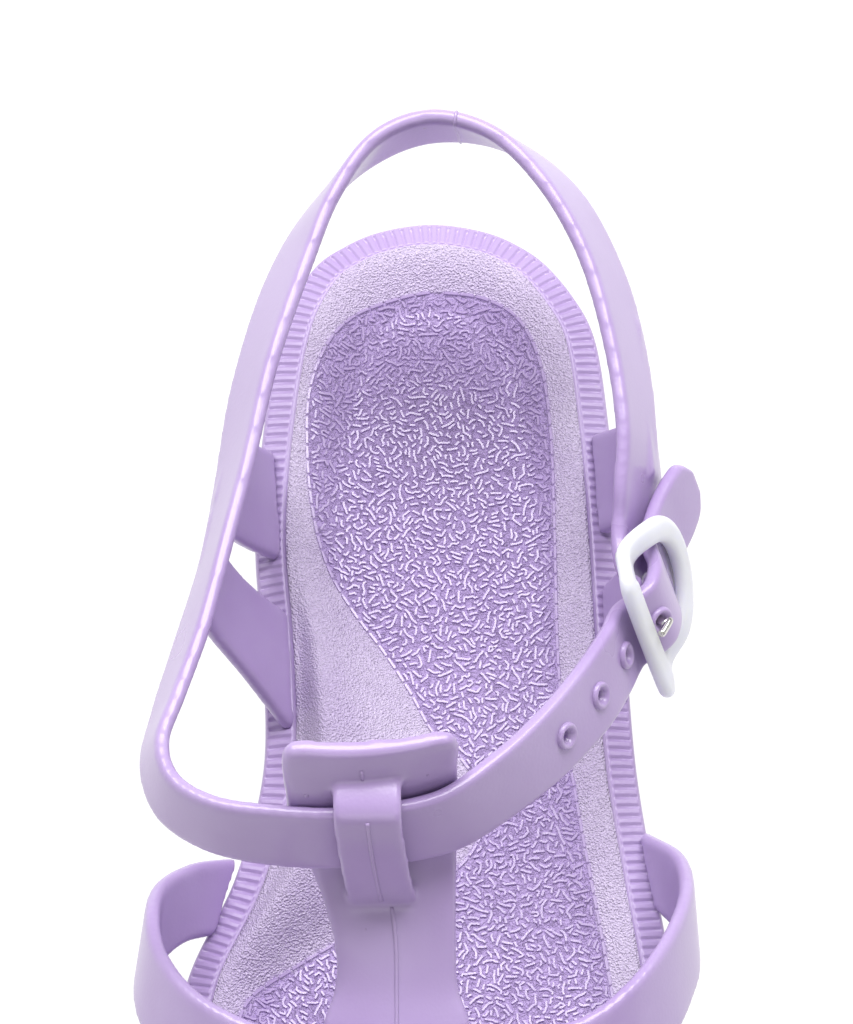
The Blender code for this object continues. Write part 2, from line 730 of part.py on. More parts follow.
def strap_line():
    """Rows of the loop's middle, upper and lower edge, closer together near the buckle."""
    rows = spline(loop_edges(), FINE_STATIONS)
    run = np.cumsum(np.linalg.norm(np.diff(rows[:, :3], axis=0), axis=1))
    axle = np.array(buckle_axes()[0])
    chosen = [0]
    walked = 0.0
    for i, length in enumerate(run):
        near = np.linalg.norm(rows[i + 1, :3] - axle) < BUCKLE_REACH
        if length - walked > (BUCKLE_STEP if near else LOOP_STEP):
            chosen.append(i + 1)
            walked = length
    if run[-1] - walked > BUCKLE_STEP / 2:
        chosen.append(len(rows) - 1)
    return rows[chosen]


def leg_wall(name, rows, collection):
    """One leg between the band and the rim."""
    heel_side = []
    toe_side = []
    for row in rows:
        back = place(row.back_along, row.back_across, row.height)
        front = place(row.front_along, row.front_across, row.height)
        if row.height == 0.0:
            back.z = rim_top(back.y, RIM_WIDTH) + BASE_LIFT
            front.z = rim_top(front.y, RIM_WIDTH) + BASE_LIFT
        heel_side.append(back)
        toe_side.append(front)
    joined = [tuple(a) + tuple(b) for a, b in zip(heel_side, toe_side)]
    line = spline(joined, LEG_STATIONS)
    return wall(name, line[:, :3], line[:, 3:6], WALL, collection)


def eyelet_places():
    """Centre and outward direction of each eyelet, counted from the buckle towards the toe."""
    rows = spline(loop_edges(), FINE_STATIONS)
    middle = rows[:, :3]
    centre = np.array(buckle_axes()[0])
    strap = len(middle) * 3 // 4
    start = strap + int(np.argmin(np.linalg.norm(middle[strap:] - centre, axis=1)))
    step = np.linalg.norm(middle[start] - middle[start - 1])
    places = []
    for k in range(EYELET_COUNT):
        i = start - int(round((EYELET_FIRST + k * EYELET_PITCH) / step))
        tangent = Vector(middle[i + 1] - middle[i - 1]).normalized()
        side = Vector(rows[i, 3:6] - rows[i, 6:9]).normalized()
        normal = tangent.cross(side).normalized()
        if normal.z < 0:
            normal = -normal
        places.append((Vector(middle[i]), normal))
    return places


def disc(name, centre, axis, diameter, length, collection, segments=16):
    """A cylinder about a centre, along an axis."""
    bm = bmesh.new()
    turn = axis.to_track_quat("Z", "Y").to_matrix().to_4x4()
    bmesh.ops.create_cone(bm, cap_ends=True, segments=segments, radius1=diameter / 2,
                          radius2=diameter / 2, depth=length,
                          matrix=Matrix.Translation(centre) @ turn)
    mesh = bpy.data.meshes.new(name)
    bm.to_mesh(mesh)
    bm.free()
    return add_object(name, mesh, collection)


def buckle_block(name, size, centre, collection):
    """A box in the buckle's own axes."""
    _, a, b, n = buckle_axes()
    turn = Matrix((a, b, n)).transposed().to_4x4()
    bm = bmesh.new()
    place_at = Matrix.Translation(buckle_point(*centre)) @ turn @ Matrix.Diagonal((*size, 1))
    bmesh.ops.create_cube(bm, size=1, matrix=place_at)
    bmesh.ops.recalc_face_normals(bm, faces=bm.faces)
    mesh = bpy.data.meshes.new(name)
    bm.to_mesh(mesh)
    bm.free()
    return add_object(name, mesh, collection)


def build_heel_upper(collection, cutters, finish):
    """Heel band, four legs and ankle strap in one piece, with the buckle's knuckle."""
    line = strap_line()
    upper = wall("heel_band_and_ankle_strap", line[:, 3:6], line[:, 6:9], WALL, collection, finish)
    for name, rows in (("rear_leg_medial", REAR_LEG_MEDIAL), ("front_leg_medial", FRONT_LEG_MEDIAL),
                       ("rear_leg_lateral", REAR_LEG_LATERAL),
                       ("front_leg_lateral", FRONT_LEG_LATERAL)):
        combine(upper, leg_wall(name, rows, cutters), "UNION")
    centre, _, up, _ = buckle_axes()
    combine(upper, disc("knuckle", centre, up, KNUCKLE_DIAMETER, KNUCKLE_SPAN, cutters), "UNION")
    bore = AXLE_DIAMETER + 2 * SEAT_GAP
    combine(upper, disc("bore", centre, up, bore, 2 * KNUCKLE_SPAN, cutters), "DIFFERENCE")
    slot = buckle_block("slot", (SLOT_LENGTH, PRONG_SLOT, SLOT_DEPTH), (0, 0, 0), cutters)
    combine(upper, slot, "DIFFERENCE")
    for where, normal in eyelet_places():
        ring_centre = where + normal * (WALL / 2 + EYELET_PROUD) / 2
        combine(upper, disc("ring", ring_centre, normal, EYELET_RING,
                            WALL / 2 + EYELET_PROUD, cutters), "UNION")
    for where, normal in eyelet_places():
        combine(upper, disc("hole", where, normal, EYELET_HOLE, 3 * WALL, cutters), "DIFFERENCE")
    tidy(upper)
    return upper


def cross_wall(name, rows, collection):
    """One strap over the foot between its two bases on the rim."""
    table = []
    for row in rows:
        heel_side = place(row.heel_along, row.heel_across, row.heel_height)
        toe_side = place(row.toe_along, row.toe_across, row.toe_height)
        if row.heel_height == 0.0:
            heel_side.z = rim_top(heel_side.y, RIM_WIDTH) + BASE_LIFT
            toe_side.z = rim_top(toe_side.y, RIM_WIDTH) + BASE_LIFT
        table.append(tuple(heel_side) + tuple(toe_side))
    line = spline(table, CROSS_STATIONS)
    return wall(name, line[:, :3], line[:, 3:6], CROSS_WALL, collection,
                outward=np.array([0, -LENGTH * 0.2, 0]))


def build_vamp(collection, cutters, finish):
    """T-bar with its tongue and keeper, instep strap and toe strap, in one piece."""
    table = []
    for row in T_BAR:
        middle = place(row.along, row.across, row.height)
        yaw = math.radians(row.yaw)
        half = Vector((math.cos(yaw), math.sin(yaw), 0)) * row.width * TONGUE_WIDTH / 2
        bow = row.bow * row.width * TONGUE_WIDTH
        table.append(tuple(middle) + tuple(middle - half) + tuple(middle + half) + (bow,))
    line = spline(table, STRAP_STATIONS)
    vamp = wall("t_bar_vamp", line[:, 3:6], line[:, 6:9], CROSS_WALL, collection, finish,
                spans=4, bows=line[:, 9])
    for name, rows in (("instep_strap", INSTEP_STRAP), ("toe_strap", TOE_STRAP)):
        combine(vamp, cross_wall(name, rows, cutters), "UNION")
    table = []
    for row in KEEPER:
        middle = place(row.along, row.across, row.height)
        half = Vector((KEEPER_WIDTH / 2, 0, 0))
        table.append(tuple(middle) + tuple(middle - half) + tuple(middle + half))
    line = spline(table, KEEPER_STATIONS)
    keeper = wall("keeper", line[:, 3:6], line[:, 6:9], KEEPER_WALL, cutters)
    combine(vamp, keeper, "UNION")
    tidy(vamp)
    return vamp


# Buckle

def frame_outline(count):
    """Outer line of the D-shaped frame in (toe_ward, upward) pairs, evenly spaced."""
    corner = 0.32 * FRAME_FRONT
    points = []
    for side, turns in ((-1, (0, 30, 60, 90)), (1, (90, 60, 30, 0))):
        for turn in turns:
            a = FRAME_FRONT - corner + corner * math.sin(math.radians(turn))
            b = side * (FRAME_HALF_WIDTH - corner + corner * math.cos(math.radians(turn)))
            points.append((a, b, 0.0))
    for k in range(1, 12):
        turn = math.pi * k / 12
        points.append((-FRAME_BACK * math.sin(turn), FRAME_HALF_WIDTH * math.cos(turn), 0.0))
    return spline(points, count, closed=True)[:, :2]


def build_frame(collection, cutters, finish):
    """The D-shaped plastic frame, with ears that carry the axle."""
    outer = frame_outline(FRAME_STATIONS)
    tangent = np.roll(outer, -1, axis=0) - np.roll(outer, 1, axis=0)
    tangent /= np.linalg.norm(tangent, axis=1)[:, None]
    inward = np.stack([-tangent[:, 1], tangent[:, 0]], axis=1)
    if (inward * outer).sum() > 0:
        inward = -inward
    inner = outer + inward * FRAME_BAR
    edge_out = [tuple(buckle_point(a, b, FRAME_LIFT)) for a, b in outer]
    edge_in = [tuple(buckle_point(a, b, FRAME_LIFT)) for a, b in inner]
    frame = wall("buckle_frame", edge_out, edge_in, FRAME_THICK, collection, finish, closed=True)
    ear_drop = FRAME_LIFT + AXLE_DIAMETER / 2 + EAR_WALL
    for side in (-1, 1):
        b = side * (FRAME_HALF_WIDTH - FRAME_BAR + EAR_WIDTH / 2)
        size = (EAR_LENGTH, EAR_WIDTH, ear_drop)
        combine(frame, buckle_block("ear", size, (0, b, FRAME_LIFT - ear_drop / 2), cutters), "UNION")
    centre, _, up, _ = buckle_axes()
    reach = 2 * (FRAME_HALF_WIDTH - AXLE_SHORT)
    combine(frame, disc("axle_bore", centre, up, AXLE_DIAMETER + 2 * SEAT_GAP, reach, cutters),
            "DIFFERENCE")
    tidy(frame)
    return frame


def build_axle(collection, finish):
    """The steel axle across the frame."""
    centre, _, up, _ = buckle_axes()
    length = 2 * (FRAME_HALF_WIDTH - AXLE_SHORT - SEAT_GAP)
    axle = disc("buckle_axle", centre, up, AXLE_DIAMETER, length, collection, segments=14)
    axle.data.materials.append(finish)
    return axle


def build_prong(collection, finish):
    """The steel prong: an eye round the axle and a pin through the first eyelet."""
    eye = AXLE_DIAMETER / 2 + PRONG_DIAMETER / 2 + SEAT_GAP
    route = []
    for k in range(9):
        turn = math.radians(65 + 295 * k / 8)
        route.append((eye * math.cos(turn), eye * math.sin(turn)))
    where, normal = eyelet_places()[0]
    centre, a, b, n = buckle_axes()
    hole = where - centre
    mid = (hole.dot(a), hole.dot(n))
    lean = (normal.dot(a), normal.dot(n))
    below = (mid[0] - lean[0] * WALL / 2, mid[1] - lean[1] * WALL / 2)
    above = (mid[0] + lean[0] * PRONG_RISE, mid[1] + lean[1] * PRONG_RISE)
    rest = FRAME_LIFT + (FRAME_THICK + PRONG_DIAMETER) / 2 + SEAT_GAP
    bar = FRAME_FRONT - FRAME_BAR
    route += [below, mid, above, (bar - PRONG_DIAMETER, rest + PRONG_DIAMETER / 2),
              (bar + FRAME_BAR / 2, rest)]
    points = spline([tuple(buckle_point(p, 0, q)) for p, q in route], PRONG_STATIONS)
    curve = bpy.data.curves.new("prong_line", "CURVE")
    curve.dimensions = "3D"
    curve.bevel_depth = PRONG_DIAMETER / 2
    curve.bevel_resolution = 1
    curve.use_fill_caps = True
    run = curve.splines.new("POLY")
    run.points.add(len(points) - 1)
    for target, point in zip(run.points, points):
        target.co = (*point, 1)
    line = bpy.data.objects.new("prong_line", curve)
    collection.objects.link(line)
    graph = bpy.context.evaluated_depsgraph_get()
    mesh = bpy.data.meshes.new_from_object(line.evaluated_get(graph))
    bpy.data.objects.remove(line)
    bm = bmesh.new()
    bm.from_mesh(mesh)
    bmesh.ops.remove_doubles(bm, verts=bm.verts, dist=0.00001)
    bmesh.ops.recalc_face_normals(bm, faces=bm.faces)
    bmesh.ops.triangulate(bm, faces=bm.faces)
    bm.to_mesh(mesh)
    bm.free()
    mesh.shade_smooth()
    mesh.materials.clear()
    return add_object("buckle_prong", mesh, collection, finish)


def main():
    for old in list(bpy.data.objects):
        bpy.data.objects.remove(old)
    parts = bpy.data.collections.new("jelly_sandal")
    cutters = bpy.data.collections.new("cutters")
    bpy.context.scene.collection.children.link(parts)
    bpy.context.scene.collection.children.link(cutters)
    lilac_sole = material("lilac_plastic_sole", LILAC, 0.35)
    lilac_heel = material("lilac_plastic_heel_upper", LILAC, 0.25)
    lilac_vamp = material("lilac_plastic_vamp", LILAC, 0.25)
    milky = material("milky_plastic", MILKY, 0.2)
    axle_steel = material("axle_steel", STEEL, 0.25, 1.0)
    prong_steel = material("prong_steel", STEEL, 0.2, 1.0)
    build_sole(parts, lilac_sole)
    build_heel_upper(parts, cutters, lilac_heel)
    build_vamp(parts, cutters, lilac_vamp)
    build_frame(parts, cutters, milky)
    build_axle(parts, axle_steel)
    build_prong(parts, prong_steel)
    for made in parts.objects:
        made.data.transform(Matrix.Translation((SIDE_SHIFT, 0, 0)))


main()
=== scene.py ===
# %% [markdown]
# A moulded jelly sandal for a left foot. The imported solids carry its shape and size, and
# this lesson dresses them: finer mouldings with soft edges, the embossed footbed, the
# ribbed rim and the plastics. The frame is loaded first, because every piece follows it.

import math
from collections import namedtuple

import bmesh
import bpy
import numpy as np
from mathutils import Matrix, Vector


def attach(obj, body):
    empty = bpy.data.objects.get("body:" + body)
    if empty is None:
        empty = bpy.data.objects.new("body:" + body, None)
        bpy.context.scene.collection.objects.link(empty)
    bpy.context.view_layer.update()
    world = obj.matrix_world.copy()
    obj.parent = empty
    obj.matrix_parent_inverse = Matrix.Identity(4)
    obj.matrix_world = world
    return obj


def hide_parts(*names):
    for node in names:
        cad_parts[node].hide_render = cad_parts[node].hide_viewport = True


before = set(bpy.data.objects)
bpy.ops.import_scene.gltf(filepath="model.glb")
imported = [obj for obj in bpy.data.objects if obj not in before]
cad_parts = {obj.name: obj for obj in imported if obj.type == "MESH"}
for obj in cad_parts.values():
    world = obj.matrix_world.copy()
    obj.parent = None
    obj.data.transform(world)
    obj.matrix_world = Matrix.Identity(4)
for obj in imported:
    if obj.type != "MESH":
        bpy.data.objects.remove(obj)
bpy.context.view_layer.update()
print("solids:", ", ".join(sorted(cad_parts)))

# %% [markdown]
# All places are worked out as in the solids: shares of the shoe's length, of half the
# ball's width and of the instep's height, with the whole shoe moved sideways so that the
# origin is under the middle of its box.

# %% Driving sizes
LENGTH = 0.250
BALL_WIDTH = 0.092
INSTEP_HEIGHT = 0.074
HEEL_EDGE_HEIGHT = 0.0125
TOE_SPRING = 0.0075
SIDE_SHIFT = 0.00335
WALL = 0.0028
MM = 0.001
SPLINE_STEPS = 24


def place(along, across, height=0.0):
    """A point from shares of the length, half ball width and instep height."""
    x = across * BALL_WIDTH / 2 + SIDE_SHIFT
    return Vector((x, LENGTH * (0.5 - along), height * INSTEP_HEIGHT))


def smoothstep(x):
    """Rise smoothly from 0 to 1 as x goes from 0 to 1."""
    x = np.clip(x, 0.0, 1.0)
    return x * x * (3 - 2 * x)


def spline(points, count, closed=False):
    """Evenly spaced rows on a smooth curve through rows whose first three columns are a place."""
    rows = [np.array(p, dtype=float) for p in points]
    total = len(rows)
    dense = []
    for i in range(total if closed else total - 1):
        p1 = rows[i]
        p2 = rows[(i + 1) % total]
        p0 = rows[i - 1] if closed or i > 0 else 2 * p1 - p2
        p3 = rows[(i + 2) % total] if closed or i + 2 < total else 2 * p2 - p1
        d01, d12, d23 = (max(np.linalg.norm(step[:3]), 1e-6) ** 0.5
                         for step in (p1 - p0, p2 - p1, p3 - p2))
        m1 = (p2 - p1) + d12 * ((p1 - p0) / d01 - (p2 - p0) / (d01 + d12))
        m2 = (p2 - p1) + d12 * ((p3 - p2) / d23 - (p3 - p1) / (d12 + d23))
        for t in np.arange(SPLINE_STEPS) / SPLINE_STEPS:
            dense.append((2 * t ** 3 - 3 * t ** 2 + 1) * p1 + (t ** 3 - 2 * t ** 2 + t) * m1
                         + (3 * t ** 2 - 2 * t ** 3) * p2 + (t ** 3 - t ** 2) * m2)
    dense.append(rows[0] if closed else rows[-1])
    dense = np.array(dense)
    run = np.concatenate([[0], np.cumsum(np.linalg.norm(np.diff(dense[:, :3], axis=0), axis=1))])
    ends = np.linspace(0, run[-1], count + 1)[:-1] if closed else np.linspace(0, run[-1], count)
    return np.stack([np.interp(ends, run, dense[:, c]) for c in range(dense.shape[1])], axis=1)


def add_piece(name, mesh, node, finish):
    """Put a finished mesh in the scene, on the shoe, in place of a solid."""
    piece = bpy.data.objects.new(name, mesh)
    bpy.context.scene.collection.objects.link(piece)
    mesh.materials.clear()
    mesh.materials.append(finish)
    mesh.shade_smooth()
    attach(piece, "root")
    if node:
        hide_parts(node)
    mesh.calc_loop_triangles()
    print(name, len(mesh.loop_triangles), "triangles")
    return piece


# %% [markdown]
# The photo looks down on the standing shoe from in front of the toes, from about 65
# degrees above the floor and from some way off, so straps keep their widths. The camera
# is set from that distance and a long lens, and the frame cuts the toes off as there.

# %% Camera
CAMERA_AT = (0.00142, -0.60931, 1.46009)
CAMERA_TILT = 25.0
LENS_MM = 306.6
SENSOR_MM = 36.0
NEAR_CLIP = 0.05

camera_data = bpy.data.cameras.new("camera")
camera_data.lens = LENS_MM
camera_data.sensor_width = SENSOR_MM
camera_data.clip_start = NEAR_CLIP
camera = bpy.data.objects.new("camera", camera_data)
camera.location = CAMERA_AT
camera.rotation_euler = (math.radians(CAMERA_TILT), 0, 0)
bpy.context.scene.collection.objects.link(camera)
bpy.context.scene.camera = camera
print("camera", round(math.dist(CAMERA_AT, (0, 0, 0)), 3), "m from the shoe")

# %% [markdown]
# A moulded surface is never quite plain: there is a fine grain from the tool, slow waves
# of gloss, and specks of dust. These are shared node groups that give masks and normals,
# so that each plastic can use them at its own strength.

# %% Shared effects
def new_group(name, inputs, outputs):
    """A shader node group with float inputs as (name, default) and outputs as (name, type)."""
    group = bpy.data.node_groups.new(name, "ShaderNodeTree")
    for label, default in inputs:
        socket = group.interface.new_socket(label, in_out="INPUT", socket_type="NodeSocketFloat")
        socket.default_value = default
    for label, kind in outputs:
        group.interface.new_socket(label, in_out="OUTPUT", socket_type=kind)
    return group, group.nodes.new("NodeGroupInput"), group.nodes.new("NodeGroupOutput")


def node(tree, kind, **values):
    """A node with properties and input values set by name."""
    made = tree.nodes.new(kind)
    for key, value in values.items():
        label = key.replace("_", " ").title()
        if label in made.inputs:
            made.inputs[label].default_value = value
        else:
            setattr(made, key, value)
    return made


def math_node(tree, operation, a, b=None, clamp=False):
    """A Math node on two sockets or numbers."""
    made = tree.nodes.new("ShaderNodeMath")
    made.operation = operation
    made.use_clamp = clamp
    for socket, value in zip(made.inputs, (a, b)):
        if value is None:
            continue
        if isinstance(value, (int, float)):
            socket.default_value = value
        else:
            tree.links.new(value, socket)
    return made.outputs[0]


def mix_colour(tree, factor, a, b):
    """A colour between a and b; each is a socket or a colour."""
    made = tree.nodes.new("ShaderNodeMix")
    made.data_type = "RGBA"
    tree.links.new(factor, made.inputs[0])
    for index, value in ((6, a), (7, b)):
        if isinstance(value, tuple):
            made.inputs[index].default_value = value
        else:
            tree.links.new(value, made.inputs[index])
    return made.outputs[2]


def ramp(tree, value, start, end):
    """A smooth 0 to 1 step of a value between two levels."""
    made = tree.nodes.new("ShaderNodeMapRange")
    made.interpolation_type = "SMOOTHSTEP"
    made.inputs["From Min"].default_value = start
    made.inputs["From Max"].default_value = end
    tree.links.new(value, made.inputs["Value"])
    return made.outputs["Result"]


def make_grain_group():
    """Leather-like grain of the mould: a height from small cells and wrinkles."""
    group, given, out = new_group("mould_grain", [("Scale", 900.0), ("Wrinkle", 0.5)],
                                  [("Height", "NodeSocketFloat")])
    coords = node(group, "ShaderNodeTexCoord").outputs["Object"]
    cells = node(group, "ShaderNodeTexVoronoi", feature="SMOOTH_F1", smoothness=0.35)
    waves = node(group, "ShaderNodeTexNoise", detail=4.0, roughness=0.6, distortion=0.6)
    for texture in (cells, waves):
        group.links.new(coords, texture.inputs["Vector"])
    group.links.new(given.outputs["Scale"], cells.inputs["Scale"])
    group.links.new(math_node(group, "MULTIPLY", given.outputs["Scale"], 0.8), waves.inputs["Scale"])
    cell = math_node(group, "MULTIPLY", cells.outputs["Distance"], 1.3)
    wrinkle = math_node(group, "MULTIPLY", waves.outputs["Fac"], given.outputs["Wrinkle"])
    group.links.new(math_node(group, "ADD", cell, wrinkle), out.inputs["Height"])
    return group


def make_dust_group():
    """Specks: a mask of sparse small dots, and a slow cloud for gloss and tone."""
    group, given, out = new_group("specks", [("Scale", 260.0)],
                                  [("Dots", "NodeSocketFloat"), ("Cloud", "NodeSocketFloat")])
    coords = node(group, "ShaderNodeTexCoord").outputs["Object"]
    spots = node(group, "ShaderNodeTexVoronoi", feature="F1", randomness=1.0)
    cloud = node(group, "ShaderNodeTexNoise", scale=38.0, detail=3.0)
    rare = node(group, "ShaderNodeTexNoise", scale=70.0, detail=1.0)
    for texture in (spots, cloud, rare):
        group.links.new(coords, texture.inputs["Vector"])
    group.links.new(given.outputs["Scale"], spots.inputs["Scale"])
    dot = math_node(group, "SUBTRACT", 1.0, ramp(group, spots.outputs["Distance"], 0.05, 0.11))
    chance = ramp(group, rare.outputs["Fac"], 0.66, 0.74)
    group.links.new(math_node(group, "MULTIPLY", dot, chance), out.inputs["Dots"])
    group.links.new(cloud.outputs["Fac"], out.inputs["Cloud"])
    return group


GRAIN = make_grain_group()
DUST = make_dust_group()
print("node groups:", GRAIN.name, DUST.name)

# %% [markdown]
# The straps are a soft, slightly milky vinyl: light goes a little way in, so shadows stay
# pale and lilac, while the surface has a clean gloss. The base colour, the subsurface
# share and the coat do that, and the shared groups vary tone and roughness. Between
# the embossed ridges, crooked bands of bump stand for the relief that is too fine to model.

# %% Vinyl for straps and sole
LILAC = (0.400, 0.290, 0.540, 1.0)
LILAC_PALE = (0.450, 0.342, 0.590, 1.0)
SOLE_LILAC = (0.460, 0.350, 0.605, 1.0)
SOLE_PALE = (0.530, 0.432, 0.655, 1.0)
# Footbed margin: its lilac is made paler and whiter, painted sheen for the glints of its grain
BED_SHEEN_LILAC = (0.600, 0.500, 0.720, 1.0)
BED_SHEEN_PALE = (0.700, 0.610, 0.800, 1.0)
# Embossed floor of the footbed: darker, painted shade between the ridges
BED_FLOOR_SHADE = (0.435, 0.325, 0.595, 1.0)
GRIT = (0.40, 0.34, 0.46, 1.0)
SOFT_DEPTH = 0.0022
GLOSS_SPREAD = 0.16
FLOOR_DULLER = 0.28
FLOOR_CALMER = 0.75
WORM_SCALE = 900.0
WORM_BANDS = 6.0


def worm_bands(tree):
    """Crooked bands that fill the floor between the embossed ridges."""
    where = node(tree, "ShaderNodeTexCoord").outputs["Object"]
    noise = node(tree, "ShaderNodeTexNoise")
    noise.inputs["Scale"].default_value = WORM_SCALE
    noise.inputs["Detail"].default_value = 1.0
    noise.inputs["Distortion"].default_value = 0.5
    tree.links.new(where, noise.inputs["Vector"])
    spread = math_node(tree, "MULTIPLY", noise.outputs["Fac"], WORM_BANDS)
    return math_node(tree, "PINGPONG", spread, 0.5)


def vinyl(name, colour, pale, roughness, bump, grain_scale, wrinkle=0.5, coat=0.25, soft=0.15,
          inner=None):
    """Soft moulded vinyl with grain, gloss clouds and specks. Inner colours the embossed floor darker:
    painted shade between the ridges.
    """
    made = bpy.data.materials.new(name)
    made.use_nodes = True
    tree = made.node_tree
    shader = tree.nodes["Principled BSDF"]
    dust = node(tree, "ShaderNodeGroup", node_tree=DUST)
    grain = node(tree, "ShaderNodeGroup", node_tree=GRAIN)
    grain.inputs["Scale"].default_value = grain_scale
    grain.inputs["Wrinkle"].default_value = wrinkle
    tone = mix_colour(tree, ramp(tree, dust.outputs["Cloud"], 0.35, 0.75), colour, pale)
    # The embossed floor takes the inner colour, a painted shade between the ridges
    if inner:
        pattern = node(tree, "ShaderNodeAttribute", attribute_name="pattern").outputs["Fac"]
        tone = mix_colour(tree, pattern, tone, inner)
    specked = mix_colour(tree, dust.outputs["Dots"], tone, GRIT)
    tree.links.new(specked, shader.inputs["Base Color"])
    gloss = math_node(tree, "MULTIPLY_ADD", dust.outputs["Cloud"], GLOSS_SPREAD)
    gloss.node.inputs[2].default_value = roughness - GLOSS_SPREAD / 2
    tree.links.new(gloss, shader.inputs["Roughness"])
    height = grain.outputs["Height"]
    if inner:
        duller = math_node(tree, "MULTIPLY_ADD", pattern, FLOOR_DULLER)
        tree.links.new(gloss, duller.node.inputs[2])
        tree.links.new(duller, shader.inputs["Roughness"])
        calm = math_node(tree, "MULTIPLY_ADD", pattern, -FLOOR_CALMER)
        calm.node.inputs[2].default_value = 1.0
        height = math_node(tree, "MULTIPLY", height, calm)
        worms = math_node(tree, "MULTIPLY", worm_bands(tree), pattern)
        height = math_node(tree, "ADD", height, worms)
    bumps = node(tree, "ShaderNodeBump", strength=1.0, distance=bump)
    tree.links.new(height, bumps.inputs["Height"])
    tree.links.new(bumps.outputs["Normal"], shader.inputs["Normal"])
    shader.inputs["Subsurface Weight"].default_value = soft
    shader.inputs["Subsurface Scale"].default_value = SOFT_DEPTH
    shader.inputs["Subsurface Radius"].default_value = (1.0, 0.75, 1.1)
    shader.inputs["Coat Weight"].default_value = coat
    shader.inputs["Coat Roughness"].default_value = 0.12
    shader.inputs["IOR"].default_value = 1.52
    return made


strap_vinyl = vinyl("strap_vinyl", LILAC, LILAC_PALE, 0.30, 0.000012, 1400.0)
rim_vinyl = vinyl("rim_vinyl", LILAC, LILAC_PALE, 0.36, 0.00002, 1200.0, coat=0.1, soft=0.0)
# The footbed's margin colour is painted paler for sheen, and its embossed floor painted darker for
# shade between the ridges
footbed_vinyl = vinyl("footbed_vinyl", BED_SHEEN_LILAC, BED_SHEEN_PALE, 0.22, 0.00032, 2600.0, wrinkle=1.3,
                      coat=0.0, soft=0.0, inner=BED_FLOOR_SHADE)
relief_vinyl = vinyl("relief_vinyl", SOLE_LILAC, SOLE_PALE, 0.22, 0.00001, 1200.0, coat=0.15, soft=0.0)
tread_vinyl = vinyl("tread_vinyl", SOLE_LILAC, SOLE_PALE, 0.42, 0.00005, 700.0, soft=0.0)
print("vinyls:", strap_vinyl.name, rim_vinyl.name, footbed_vinyl.name, relief_vinyl.name)

# %% [markdown]
# The buckle is a harder, milky plastic that lets light through, and its prong and axle
# are polished steel wire with fine draw marks.

# %% Buckle finishes
MILKY = (0.64, 0.65, 0.71, 1.0)
MILKY_PALE = (0.74, 0.75, 0.80, 1.0)
STEEL = (0.62, 0.60, 0.57, 1.0)
STEEL_PALE = (0.78, 0.77, 0.75, 1.0)


def milky_plastic():
    """Cloudy, glossy buckle plastic."""
    made = bpy.data.materials.new("milky_plastic")
    made.use_nodes = True
    tree = made.node_tree
    shader = tree.nodes["Principled BSDF"]
    dust = node(tree, "ShaderNodeGroup", node_tree=DUST)
    tone = mix_colour(tree, dust.outputs["Cloud"], MILKY, MILKY_PALE)
    tree.links.new(tone, shader.inputs["Base Color"])
    grain = node(tree, "ShaderNodeGroup", node_tree=GRAIN)
    grain.inputs["Scale"].default_value = 500.0
    bumps = node(tree, "ShaderNodeBump", strength=1.0, distance=0.000008)
    tree.links.new(grain.outputs["Height"], bumps.inputs["Height"])
    tree.links.new(bumps.outputs["Normal"], shader.inputs["Normal"])
    shader.inputs["Roughness"].default_value = 0.42
    shader.inputs["Subsurface Weight"].default_value = 0.85
    shader.inputs["Subsurface Scale"].default_value = 0.007
    shader.inputs["Subsurface Radius"].default_value = (0.9, 0.9, 1.2)
    shader.inputs["Coat Weight"].default_value = 0.06
    shader.inputs["Coat Roughness"].default_value = 0.10
    return made


def polished_steel():
    """Drawn and polished steel wire."""
    made = bpy.data.materials.new("polished_steel")
    made.use_nodes = True
    tree = made.node_tree
    shader = tree.nodes["Principled BSDF"]
    coords = node(tree, "ShaderNodeTexCoord").outputs["Object"]
    marks = node(tree, "ShaderNodeTexNoise", scale=3000.0, detail=2.0)
    tree.links.new(coords, marks.inputs["Vector"])
    rough = math_node(tree, "MULTIPLY_ADD", marks.outputs["Fac"], 0.18)
    rough.node.inputs[2].default_value = 0.10
    tree.links.new(rough, shader.inputs["Roughness"])
    tone = mix_colour(tree, marks.outputs["Fac"], STEEL, STEEL_PALE)
    tree.links.new(tone, shader.inputs["Base Color"])
    shader.inputs["Metallic"].default_value = 1.0
    return made


buckle_milky = milky_plastic()
steel = polished_steel()
print("buckle finishes:", buckle_milky.name, steel.name)

# %% [markdown]
# The outline and the heights of the sole are tables, as in the solids. The outline is
# read at eight points for each rib of the rim, because the rim's own loops start from
# it. A monotone cubic reads the tables, so that no height swings past its rows.

# %% Outline and heights of the sole
Outline = namedtuple("Outline", "along medial lateral")
OUTLINE = [
    Outline(0.0075, -0.252, 0.215),
    Outline(0.0195, -0.383, 0.345),
    Outline(0.033, -0.480, 0.437),
    Outline(0.060, -0.572, 0.549),
    Outline(0.090, -0.630, 0.628),
    Outline(0.170, -0.695, 0.690),
    Outline(0.260, -0.724, 0.725),
    Outline(0.350, -0.690, 0.750),
    Outline(0.440, -0.685, 0.785),
    Outline(0.520, -0.790, 0.850),
    Outline(0.600, -0.975, 0.920),
    Outline(0.680, -1.025, 0.955),
    Outline(0.770, -1.005, 0.890),
    Outline(0.860, -0.930, 0.710),
    Outline(0.930, -0.795, 0.440),
    Outline(0.980, -0.560, 0.060),
]
HEEL_TIP_ACROSS = -0.02
TOE_TIP_ACROSS = -0.26
Profile = namedtuple("Profile", "along under edge")
